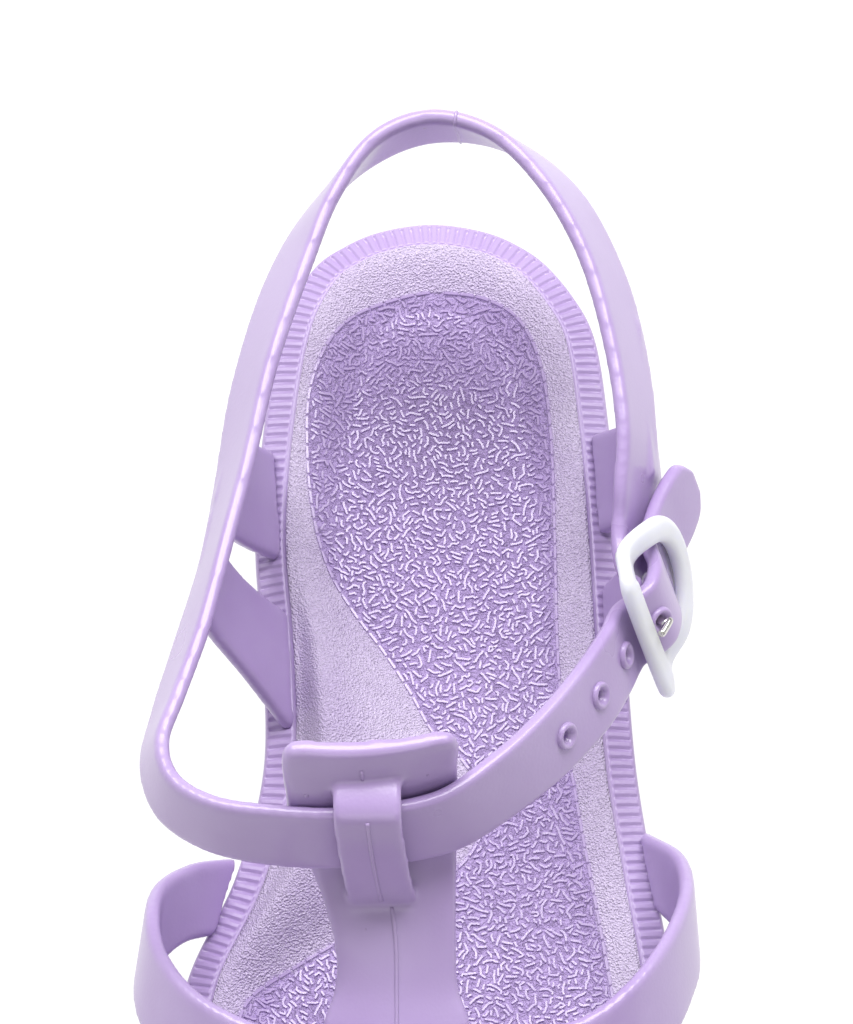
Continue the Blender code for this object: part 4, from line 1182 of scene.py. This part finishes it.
def pass_edges(table):
    """Middle, upper and lower edge of the wall through the buckle, as rows."""
    edges = []
    for row in table:
        half = row.width * STRAP_WIDTH / 2
        at = (row.toe_ward * FRAME_FRONT, row.upward * FRAME_FRONT, row.outward * FRAME_FRONT)
        upper = buckle_point(at[0], at[1] + half, at[2])
        lower = buckle_point(at[0], at[1] - half, at[2])
        edges.append((*(upper + lower) / 2, *upper, *lower))
    return edges


def loop_edges():
    """Middle, upper and lower edge of the band and strap wall, all the way round."""
    inner = [place(row.along, row.across, row.height) for row in HEEL_LOOP]
    edges = []
    for i, row in enumerate(HEEL_LOOP):
        ahead = inner[min(i + 1, len(inner) - 1)] - inner[max(i - 1, 0)]
        out = Vector((ahead.y, -ahead.x, 0)).normalized()
        if out.dot(Vector((inner[i].x - SIDE_SHIFT, inner[i].y - FOOT_MIDDLE_Y, 0))) < 0:
            out = -out
        lean = math.radians(row.lean)
        face = Vector((out.x * math.cos(lean), out.y * math.cos(lean), math.sin(lean)))
        down = Vector((out.x * math.sin(lean), out.y * math.sin(lean), -math.cos(lean)))
        upper = inner[i] + face * WALL / 2
        lower = upper + down * row.width * BAND_WIDTH
        edges.append((*(upper + lower) / 2, *upper, *lower))
    return pass_edges(BAND_END) + edges + pass_edges(STRAP_END)


def leg_skin(table):
    """One leg between the band and the rim."""
    lines = []
    for row in table:
        back = place(row.back_along, row.back_across, row.height)
        front = place(row.front_along, row.front_across, row.height)
        if row.height == 0.0:
            back.z = float(rim_top(back.y, RIM_WIDTH)) - FOOT_SUNK
            front.z = float(rim_top(front.y, RIM_WIDTH)) - FOOT_SUNK
        lines.append((*back, *front))
    line = spline(lines, LEG_STATIONS)
    return wall_skin(line[:, :3], line[:, 3:6], WALL, across_points=WALL_COLUMNS)


def eyelet_places(rows):
    """Centre and outward direction of each eyelet, counted from the buckle towards the toe."""
    middle = rows[:, :3]
    centre = np.array(buckle_axes()[0])
    strap = len(middle) * 3 // 4
    start = strap + int(np.argmin(np.linalg.norm(middle[strap:] - centre, axis=1)))
    step = np.linalg.norm(middle[start] - middle[start - 1])
    places = []
    for k in range(EYELET_COUNT):
        i = start - int(round((EYELET_FIRST + k * EYELET_PITCH) / step))
        tangent = Vector(middle[i + 1] - middle[i - 1]).normalized()
        side = Vector(rows[i, 3:6] - rows[i, 6:9]).normalized()
        normal = tangent.cross(side).normalized()
        places.append((Vector(middle[i]), normal if normal.z > 0 else -normal))
    return places


def turned(centre, axis):
    """A matrix that puts Z on an axis at a centre."""
    return Matrix.Translation(centre) @ axis.to_track_quat("Z", "Y").to_matrix().to_4x4()


def rod(centre, axis, diameter, length, segments=32):
    """A plain cylinder."""
    bm = bmesh.new()
    bmesh.ops.create_cone(bm, cap_ends=True, segments=segments, radius1=diameter / 2,
                          radius2=diameter / 2, depth=length, matrix=turned(centre, axis))
    mesh = bpy.data.meshes.new("rod")
    bm.to_mesh(mesh)
    bm.free()
    return mesh


def buckle_box(size, centre):
    """A plain box in the buckle's own axes."""
    _, a, b, n = buckle_axes()
    turn = Matrix((a, b, n)).transposed().to_4x4()
    bm = bmesh.new()
    bmesh.ops.create_cube(bm, size=1, matrix=Matrix.Translation(buckle_point(*centre)) @ turn
                          @ Matrix.Diagonal((*size, 1)))
    bmesh.ops.recalc_face_normals(bm, faces=bm.faces)
    mesh = bpy.data.meshes.new("box")
    bm.to_mesh(mesh)
    bm.free()
    return mesh


loop_rows = spline(loop_edges(), LOOP_STATIONS)
loop_run = np.linalg.norm(np.diff(loop_rows[:, :3], axis=0), axis=1).sum()
print("band and strap run", round(loop_run, 3))

# %% [markdown]
# The band starts behind the buckle with the knuckle that holds the axle, and its four
# legs run down into the rim. The ankle strap is the same wall further on. It is made on
# its own from the keeper to its tip, so that its tail stays apart from the band.

# %% Heel band moulding
KNUCKLE_DIAMETER = 0.0040
KNUCKLE_SPAN = 0.0129
AXLE_DIAMETER = 0.0012
SEAT_GAP = 0.0003
SLOT_SIZE = (0.0058, 0.0022, 0.0053)
FOOT_SUNK = 0.0006
BAND_VOXEL = 0.00058
SPLIT_ACROSS = -0.262

split_row = int(np.argmin(np.where(loop_rows[:, 1] < place(0.53, 0).y,
                                   np.abs(loop_rows[:, 0] - place(0, SPLIT_ACROSS).x), 1.0)))
band_rows = loop_rows[:split_row + 1:2]
centre, _, up, _ = buckle_axes()
parts = [wall_skin(band_rows[:, 3:6], band_rows[:, 6:9], WALL, across_points=WALL_COLUMNS)]
parts += [leg_skin(table) for table in (REAR_LEG_MEDIAL, FRONT_LEG_MEDIAL,
                                        REAR_LEG_LATERAL, FRONT_LEG_LATERAL)]
parts.append(rod(centre, up, KNUCKLE_DIAMETER, KNUCKLE_SPAN))
band_mesh = moulded(parts, BAND_VOXEL, SOFT_PASSES)
bore = rod(centre, up, AXLE_DIAMETER + 2 * SEAT_GAP, 2 * KNUCKLE_SPAN)
band_mesh = cut_out(band_mesh, [bore])
band_mesh = cut_out(band_mesh, [buckle_box(SLOT_SIZE, (0, 0, 0))])
add_piece("heel_band_moulding", band_mesh, "heel_band_and_ankle_strap",
          strap_vinyl)

# %% [markdown]
# The ankle strap's free end is a wall of its own. Four holes are cut through it.

# %% Ankle strap with its holes
EYELET_COUNT = 4
EYELET_PITCH = 0.0111
EYELET_FIRST = 0.0032
EYELET_HOLE = 0.0020
eyelets = eyelet_places(loop_rows)
strap_rows = loop_rows[split_row:]
strap_mesh = wall_skin(strap_rows[:, 3:6], strap_rows[:, 6:9], WALL, across_points=14)
strap_mesh = cut_out(strap_mesh, [rod(where, normal, EYELET_HOLE, 3 * WALL)
                                  for where, normal in eyelets])
add_piece("ankle_strap_moulding", strap_mesh, "heel_band_and_ankle_strap",
          strap_vinyl)

# %% [markdown]
# Each hole has a raised round ring on the strap's face, turned from one profile: up the
# hole, over a round crest and down to the strap.

# %% Eyelet rings
RING_PROFILE = [(1.02, -1.0), (1.00, 0.9), (1.08, 1.35), (1.30, 1.70), (1.62, 2.02),
                (1.95, 2.18), (2.25, 2.08), (2.44, 1.80), (2.52, 1.45), (2.5, 1.1), (2.0, 0.6),
                (1.4, 0.0)]
bm = bmesh.new()
for where, normal in eyelets:
    matrix = turned(where, normal)
    corners = [bm.verts.new(matrix @ Vector((r * MM, 0, z * MM))) for r, z in RING_PROFILE]
    line = [bm.edges.new(pair) for pair in zip(corners, corners[1:] + corners[:1])]
    bmesh.ops.spin(bm, geom=line, cent=where, axis=normal, angle=2 * math.pi, steps=40,
                   use_merge=True)
bmesh.ops.recalc_face_normals(bm, faces=bm.faces)
ring_mesh = bpy.data.meshes.new("eyelet_rings")
bm.to_mesh(ring_mesh)
bm.free()
add_piece("eyelet_rings", ring_mesh, "heel_band_and_ankle_strap",
          strap_vinyl)

# %% [markdown]
# The T-bar starts as a plate behind the ankle strap, runs forwards under the keeper
# and grows into the instep strap and the toe strap.

# %% T-bar, keeper and cross straps tables
CROSS_WALL = 0.0028
KEEPER_WALL = 0.0022
KEEPER_WIDTH = 0.0121
TONGUE_WIDTH = 0.0302
# Middle line of the T-bar from the top of the tongue to the toe strap: yaw turns its
# lateral edge towards the heel, in degrees, and bow is its crown as a share of its width
Bar = namedtuple("Bar", "along across height width yaw bow")
T_BAR = [
    Bar(0.5410, -0.255, 1.128, 0.76, 4, 0.065),
    Bar(0.5414, -0.255, 1.122, 0.91, 4, 0.065),
    Bar(0.5432, -0.256, 1.102, 1.00, 5, 0.070),
    Bar(0.5520, -0.250, 1.000, 1.01, 9, 0.095),
    Bar(0.5675, -0.235, 0.840, 0.96, 10, 0.095),
    Bar(0.5800, -0.210, 0.763, 0.88, 8, 0.085),
    Bar(0.6020, -0.185, 0.703, 0.79, 5, 0.075),
    Bar(0.6350, -0.160, 0.652, 0.71, 3, 0.070),
    Bar(0.6640, -0.155, 0.604, 0.72, 0, 0.07),
    Bar(0.6900, -0.155, 0.572, 0.86, 0, 0.06),
    Bar(0.7250, -0.165, 0.528, 0.80, 0, 0.05),
    Bar(0.7800, -0.190, 0.485, 0.60, 0, 0.05),
    Bar(0.8300, -0.215, 0.468, 0.60, 0, 0.04),
    Bar(0.8650, -0.230, 0.450, 0.70, 0, 0.04),
]

# Keeper loop: from the face of the tongue over the ankle strap and into the T-bar
Keeper = namedtuple("Keeper", "along across height")
KEEPER = [
    Keeper(0.5560, -0.262, 1.040),
    Keeper(0.5760, -0.266, 1.040),
    Keeper(0.5870, -0.264, 1.028),
    Keeper(0.5940, -0.258, 0.985),
    Keeper(0.6035, -0.240, 0.885),
    Keeper(0.6096, -0.224, 0.800),
    Keeper(0.6112, -0.214, 0.755),
    Keeper(0.6112, -0.208, 0.715),
]

# Cross straps over the foot, from the medial to the lateral base: the edge towards the
# heel and the edge towards the toe
Cross = namedtuple("Cross", "heel_along heel_across heel_height toe_along toe_across toe_height")
INSTEP_STRAP = [
    Cross(0.508, -0.775, 0.000, 0.568, -0.862, 0.000),
    Cross(0.526, -0.925, 0.250, 0.582, -0.975, 0.190),
    Cross(0.551, -1.035, 0.340, 0.606, -1.075, 0.235),
    Cross(0.582, -1.062, 0.420, 0.628, -1.118, 0.272),
    Cross(0.622, -1.025, 0.493, 0.664, -1.090, 0.335),
    Cross(0.660, -0.895, 0.554, 0.704, -0.960, 0.410),
    Cross(0.690, -0.655, 0.595, 0.740, -0.710, 0.470),
    Cross(0.702, -0.390, 0.610, 0.758, -0.425, 0.500),
    Cross(0.704, -0.150, 0.612, 0.764, -0.160, 0.508),
    Cross(0.700, 0.175, 0.604, 0.760, 0.185, 0.498),
    Cross(0.684, 0.525, 0.588, 0.740, 0.555, 0.470),
    Cross(0.657, 0.695, 0.568, 0.710, 0.745, 0.428),
    Cross(0.625, 0.812, 0.528, 0.672, 0.870, 0.366),
    Cross(0.594, 0.886, 0.474, 0.636, 0.935, 0.294),
    Cross(0.560, 0.928, 0.400, 0.608, 0.962, 0.232),
    Cross(0.522, 0.905, 0.285, 0.576, 0.935, 0.175),
    Cross(0.488, 0.785, 0.000, 0.548, 0.840, 0.000),
]
TOE_STRAP = [
    Cross(0.772, -0.940, 0.000, 0.842, -0.890, 0.000),
    Cross(0.786, -1.090, 0.270, 0.858, -1.045, 0.245),
    Cross(0.812, -1.080, 0.380, 0.882, -1.010, 0.330),
    Cross(0.838, -0.860, 0.455, 0.906, -0.800, 0.395),
    Cross(0.850, -0.540, 0.480, 0.918, -0.510, 0.415),
    Cross(0.848, -0.220, 0.478, 0.914, -0.210, 0.410),
    Cross(0.830, 0.130, 0.455, 0.896, 0.120, 0.390),
    Cross(0.798, 0.480, 0.415, 0.864, 0.470, 0.358),
    Cross(0.758, 0.780, 0.355, 0.824, 0.770, 0.300),
    Cross(0.724, 0.950, 0.270, 0.790, 0.930, 0.235),
    Cross(0.700, 0.880, 0.000, 0.766, 0.825, 0.000),
]
print("rows of the T-bar", len(T_BAR), "and of the straps", len(INSTEP_STRAP))

# %% [markdown]
# The T-bar runs from the plate above the ankle strap down to the toes. The keeper leaves
# the plate's face, passes over the strap and comes back to the T-bar. The two cross
# straps stand on the rim with both ends.

# %% T-bar moulding
VAMP_VOXEL = 0.00058
CROSS_STATIONS = 240
BAR_STATIONS = 200
KEEPER_STATIONS = 90


def cross_skin(table):
    """One strap over the foot between its two bases on the rim."""
    lines = []
    for row in table:
        heel_side = place(row.heel_along, row.heel_across, row.heel_height)
        toe_side = place(row.toe_along, row.toe_across, row.toe_height)
        if row.heel_height == 0.0:
            heel_side.z = float(rim_top(heel_side.y, RIM_WIDTH)) - FOOT_SUNK
            toe_side.z = float(rim_top(toe_side.y, RIM_WIDTH)) - FOOT_SUNK
        lines.append((*heel_side, *toe_side))
    line = spline(lines, CROSS_STATIONS)
    return wall_skin(line[:, :3], line[:, 3:6], CROSS_WALL, across_points=WALL_COLUMNS,
                     outward=np.array([SIDE_SHIFT, -FOOT_MIDDLE_Y, 0]))


def bar_rows():
    """Middle, both edges and bow of the T-bar, as rows."""
    lines = []
    for row in T_BAR:
        middle = place(row.along, row.across, row.height)
        yaw = math.radians(row.yaw)
        half = Vector((math.cos(yaw), math.sin(yaw), 0)) * row.width * TONGUE_WIDTH / 2
        lines.append((*middle, *(middle - half), *(middle + half),
                      row.bow * row.width * TONGUE_WIDTH))
    return spline(lines, BAR_STATIONS)


def keeper_rows():
    """Middle and both edges of the keeper, as rows."""
    half = Vector((KEEPER_WIDTH / 2, 0, 0))
    middles = [place(row.along, row.across, row.height) for row in KEEPER]
    return spline([(*m, *(m - half), *(m + half)) for m in middles], KEEPER_STATIONS)


bar = bar_rows()
keeper = keeper_rows()
parts = [wall_skin(bar[:, 3:6], bar[:, 6:9], CROSS_WALL, across_points=20, bows=bar[:, 9]),
         wall_skin(keeper[:, 3:6], keeper[:, 6:9], KEEPER_WALL, across_points=10),
         cross_skin(INSTEP_STRAP), cross_skin(TOE_STRAP)]
vamp_mesh = moulded(parts, VAMP_VOXEL, SOFT_PASSES)
add_piece("t_bar_moulding", vamp_mesh, "t_bar_vamp", strap_vinyl)

# %% [markdown]
# The mould leaves its marks: a thin parting ridge down the plate, the keeper and the T-bar,
# one across the heel band, and a few pimples.

# %% Parting lines and pimples
LINE_HALF_WIDTH = 0.00036
LINE_PROUD = 0.00026
LINE_SUNK = 0.0004


def faces_of(rows, thick, bows):
    """Middle of the outer face, its normal and its sideways direction, row by row."""
    tangent = np.gradient(rows[:, :3], axis=0)
    side = rows[:, 6:9] - rows[:, 3:6]
    side /= np.linalg.norm(side, axis=1)[:, None]
    normal = np.cross(tangent, side)
    normal /= np.linalg.norm(normal, axis=1)[:, None]
    normal *= np.sign((normal * OUTER_FACE).sum(axis=1))[:, None]
    return rows[:, :3] + normal * (thick / 2 + bows)[:, None], normal, side


def parting_ridge(points, normal, side):
    """A thin rounded ridge along points on a face."""
    turns = np.radians(np.arange(0, 360, 45))
    rings = [at + side_way * LINE_HALF_WIDTH * np.cos(turns)[:, None]
             + out * np.where(np.sin(turns) > 0, LINE_PROUD, LINE_SUNK)[:, None]
             * np.sin(turns)[:, None]
             for at, out, side_way in zip(points, normal, side)]
    return skin(rings)


OUTER_FACE = np.array([0.0, -0.7, 0.7])
PLATE_LINE = -0.0018
PLATE_FROM = 7
KEEPER_OUTSIDE = slice(24, 84)
CLEAR_OF_KEEPER = 0.0015
ABOVE_KEEPER = 0.0012
details = []
at, out, side = faces_of(bar, CROSS_WALL, bar[:, 9])
along_bar = np.arange(len(bar))
in_front = at[:, 1] < keeper[-1, 1] - CLEAR_OF_KEEPER
details.append(parting_ridge(at[in_front], out[in_front], side[in_front]))
on_plate = (along_bar > PLATE_FROM) & (at[:, 2] > keeper[0, 2] + ABOVE_KEEPER)
details.append(parting_ridge((at + side * PLATE_LINE)[on_plate], out[on_plate], side[on_plate]))
keeper_at, keeper_out, keeper_side = faces_of(keeper, KEEPER_WALL, np.zeros(len(keeper)))
details.append(parting_ridge(keeper_at[KEEPER_OUTSIDE], keeper_out[KEEPER_OUTSIDE],
                             keeper_side[KEEPER_OUTSIDE]))

HOOP_X = 0.0072
HOOP_Y = 0.1
# Each section's shift along the band and how much larger than the band it is
HOOP_SECTIONS = ((-0.00030, -0.0001), (-0.00012, 0.00012), (0.00012, 0.00012), (0.00030, -0.0001))
hoop = int(np.argmin(np.where(loop_rows[:, 1] > HOOP_Y, np.abs(loop_rows[:, 0] - HOOP_X), 1.0)))
row = loop_rows[hoop]
band_width = np.linalg.norm(row[6:9] - row[3:6])
side = (row[6:9] - row[3:6]) / band_width
along_band = loop_rows[hoop + 1, :3] - loop_rows[hoop - 1, :3]
along_band /= np.linalg.norm(along_band)
out = np.cross(along_band, side)
rings = []
for shift, grown in HOOP_SECTIONS:
    section = wall_section(band_width + 2 * grown, WALL + 2 * grown, WALL_COLUMNS)
    rings.append(row[:3] + along_band * shift + section[:, :1] * side + section[:, 1:] * out)
details.append(skin(rings))
add_piece("parting_lines", joined(details), None, strap_vinyl)

Pimple = namedtuple("Pimple", "height sideways size")
PIMPLES = [Pimple(0.0750, -0.0117, 0.00042), Pimple(0.0765, 0.0095, 0.00022),
           Pimple(0.0520, -0.0050, 0.00020), Pimple(0.0430, 0.0062, 0.00022)]
bm = bmesh.new()
at, out, side = faces_of(bar, CROSS_WALL, bar[:, 9])
for pimple in PIMPLES:
    k = int(np.argmin(np.abs(at[:, 2] - pimple.height)))
    share = 2 * pimple.sideways / np.linalg.norm(bar[k, 6:9] - bar[k, 3:6])
    spot = at[k] + side[k] * pimple.sideways - out[k] * bar[k, 9] * share ** 2
    flat = Matrix.Diagonal((1, 1, 0.6, 1))
    bmesh.ops.create_icosphere(bm, subdivisions=3, radius=pimple.size,
                               matrix=turned(Vector(spot), Vector(out[k])) @ flat)
pimple_mesh = bpy.data.meshes.new("pimples")
bm.to_mesh(pimple_mesh)
bm.free()
add_piece("pimples", pimple_mesh, None, strap_vinyl)

# %% [markdown]
# The buckle's frame is a rounded bar bent to a D. Its sides dip towards the axle and end
# in an ear round each end of it. The bar's outline is walked round once, and a wall is
# skinned between its outer and its inner edge.

# %% Buckle frame
FRAME_BACK = 0.0172
FRAME_HALF_WIDTH = 0.0150
FRAME_BAR = 0.0048
FRAME_THICK = 0.0026
FRAME_LIFT = 0.0033
FRAME_DIP = 0.0025
DIP_REACH = 0.0055
EAR_PLACE = 0.0122
EAR_FOOT = 0.0011
EAR_HEAD = 0.0014
EAR_WALL = 0.0005
AXLE_SHORT = 0.0020
FRAME_VOXEL = 0.00030
FRAME_PASSES = 5
CORNER_SHARE = 0.32
BORE_CLEARANCE = 0.0001


def frame_outline(count):
    """Outer line of the D-shaped frame in (toe_ward, upward) pairs, evenly spaced."""
    corner = CORNER_SHARE * FRAME_FRONT
    points = []
    for side, turns in ((-1, (0, 30, 60, 90)), (1, (90, 60, 30, 0))):
        for turn in turns:
            a = FRAME_FRONT - corner + corner * math.sin(math.radians(turn))
            b = side * (FRAME_HALF_WIDTH - corner + corner * math.cos(math.radians(turn)))
            points.append((a, b, 0.0))
    for k in range(1, 12):
        turn = math.pi * k / 12
        points.append((-FRAME_BACK * math.sin(turn), FRAME_HALF_WIDTH * math.cos(turn), 0.0))
    return spline(points, count, closed=True)[:, :2]


outer = frame_outline(120)
tangent = np.roll(outer, -1, axis=0) - np.roll(outer, 1, axis=0)
tangent /= np.linalg.norm(tangent, axis=1)[:, None]
inward = np.stack([-tangent[:, 1], tangent[:, 0]], axis=1)
if (inward * outer).sum() > 0:
    inward = -inward
inner = outer + inward * FRAME_BAR
dip = FRAME_DIP * np.exp(-(outer[:, 0] / DIP_REACH) ** 2)
edge_out = np.array([buckle_point(a, b, FRAME_LIFT - d) for (a, b), d in zip(outer, dip)])
edge_in = np.array([buckle_point(a, b, FRAME_LIFT - d) for (a, b), d in zip(inner, dip)])
parts = [wall_skin(edge_out, edge_in, FRAME_THICK, closed=True)]
ear_drop = FRAME_LIFT - FRAME_DIP + AXLE_DIAMETER / 2 + EAR_WALL
for side in (-1, 1):
    foot = buckle_point(0, side * EAR_PLACE, -AXLE_DIAMETER / 2 - EAR_WALL)
    head = buckle_point(0, side * EAR_PLACE, FRAME_LIFT - FRAME_DIP)
    bm = bmesh.new()
    bmesh.ops.create_cone(bm, cap_ends=True, segments=24, radius1=EAR_FOOT, radius2=EAR_HEAD,
                          depth=ear_drop, matrix=turned((foot + head) / 2, head - foot))
    ear = bpy.data.meshes.new("ear")
    bm.to_mesh(ear)
    bm.free()
    parts.append(ear)
frame_mesh = moulded(parts, FRAME_VOXEL, FRAME_PASSES)
reach = 2 * (FRAME_HALF_WIDTH - AXLE_SHORT)
frame_mesh = cut_out(frame_mesh, [rod(centre, up, AXLE_DIAMETER + BORE_CLEARANCE, reach)])
add_piece("buckle_ring", frame_mesh, "buckle_frame", buckle_milky)

# %% [markdown]
# The prong is a steel wire with a closed eye round the axle. It comes up through the
# first hole and rests on the frame's front bar. The axle gets the same steel.

# %% Prong
PRONG_DIAMETER = 0.0014
PRONG_RISE = 0.0028


def prong_line(count):
    """The wire's middle from the eye to the tip."""
    eye = AXLE_DIAMETER / 2 + PRONG_DIAMETER / 2 + SEAT_GAP
    route = []
    for k in range(9):
        turn = math.radians(65 + 295 * k / 8)
        route.append((eye * math.cos(turn), eye * math.sin(turn)))
    where, normal = eyelets[0]
    middle, a, _, n = buckle_axes()
    hole = where - middle
    mid = (hole.dot(a), hole.dot(n))
    lean = (normal.dot(a), normal.dot(n))
    below = (mid[0] - lean[0] * WALL / 2, mid[1] - lean[1] * WALL / 2)
    above = (mid[0] + lean[0] * PRONG_RISE, mid[1] + lean[1] * PRONG_RISE)
    rest = FRAME_LIFT + (FRAME_THICK + PRONG_DIAMETER) / 2 + SEAT_GAP
    bar_inner = FRAME_FRONT - FRAME_BAR
    route += [below, mid, above, (bar_inner - PRONG_DIAMETER, rest + PRONG_DIAMETER / 2),
              (bar_inner + FRAME_BAR / 2, rest)]
    return spline([tuple(buckle_point(p, 0, q)) for p, q in route], count)


wire = prong_line(140)
side = np.array(buckle_axes()[2])
tangent = np.gradient(wire, axis=0)
tangent /= np.linalg.norm(tangent, axis=1)[:, None]
lift = np.cross(side, tangent)
turns = np.linspace(0, 2 * math.pi, 20, endpoint=False)
rings = []
last = len(wire) - 1
for i, (at, rise) in enumerate(zip(wire, lift)):
    radius = PRONG_DIAMETER / 2 * min(1.0, (0.35 + 0.22 * min(i, last - i)) ** 0.5)
    rings.append(at + radius * (np.cos(turns)[:, None] * side + np.sin(turns)[:, None] * rise))
add_piece("prong_wire", skin(rings), "buckle_prong", steel)
axle = bpy.data.objects["buckle_axle"]
axle.data.materials.clear()
axle.data.materials.append(steel)
print("buckle, axle and prong are dressed")

# %% [markdown]
# A pale floor under soft light from all sides, as in a catalogue picture.

# %% Floor and light
def soft_light(name, at, size, power):
    """A large rectangular light, size wide and deep, that faces the shoe."""
    lamp = bpy.data.lights.new(name, "AREA")
    lamp.energy = power
    lamp.shape = "RECTANGLE"
    lamp.size, lamp.size_y = size
    holder = bpy.data.objects.new(name, lamp)
    holder.location = at
    holder.rotation_euler = (-Vector(at)).to_track_quat("-Z", "Y").to_euler()
    bpy.context.scene.collection.objects.link(holder)


soft_light("light_back", (0.0, 0.80, 1.36), (2.2, 0.75), 44.0)
soft_light("light_left", (-1.2, 0.35, 0.85), (0.8, 0.8), 0.55)
soft_light("light_right", (1.25, 0.35, 0.75), (0.8, 0.8), 0.55)
soft_light("light_front", (0.0, -1.25, 1.15), (1.2, 0.8), 3.4)
world = bpy.data.worlds.new("studio")
bpy.context.scene.world = world
world.use_nodes = True
world.node_tree.nodes["Background"].inputs["Color"].default_value = (1.0, 1.0, 1.0, 1.0)
world.node_tree.nodes["Background"].inputs["Strength"].default_value = 0.38
floor_paint = bpy.data.materials.new("floor_paint")
floor_paint.use_nodes = True
floor_shader = floor_paint.node_tree.nodes["Principled BSDF"]
floor_shader.inputs["Base Color"].default_value = (0.12, 0.12, 0.12, 1.0)
floor_shader.inputs["Roughness"].default_value = 0.9
floor_shader.inputs["Emission Color"].default_value = (1.0, 1.0, 1.0, 1.0)
floor_shader.inputs["Emission Strength"].default_value = 0.93
bm = bmesh.new()
bmesh.ops.create_grid(bm, x_segments=1, y_segments=1, size=3.0)
floor_mesh = bpy.data.meshes.new("floor")
bm.to_mesh(floor_mesh)
bm.free()
floor_mesh.materials.append(floor_paint)
floor = bpy.data.objects.new("floor", floor_mesh)
bpy.context.scene.collection.objects.link(floor)
bpy.context.scene.view_settings.view_transform = "Standard"
print("floor and lights are set")

# %% [markdown]
# The scene is brought up to date.

# %% Update
bpy.context.view_layer.update()
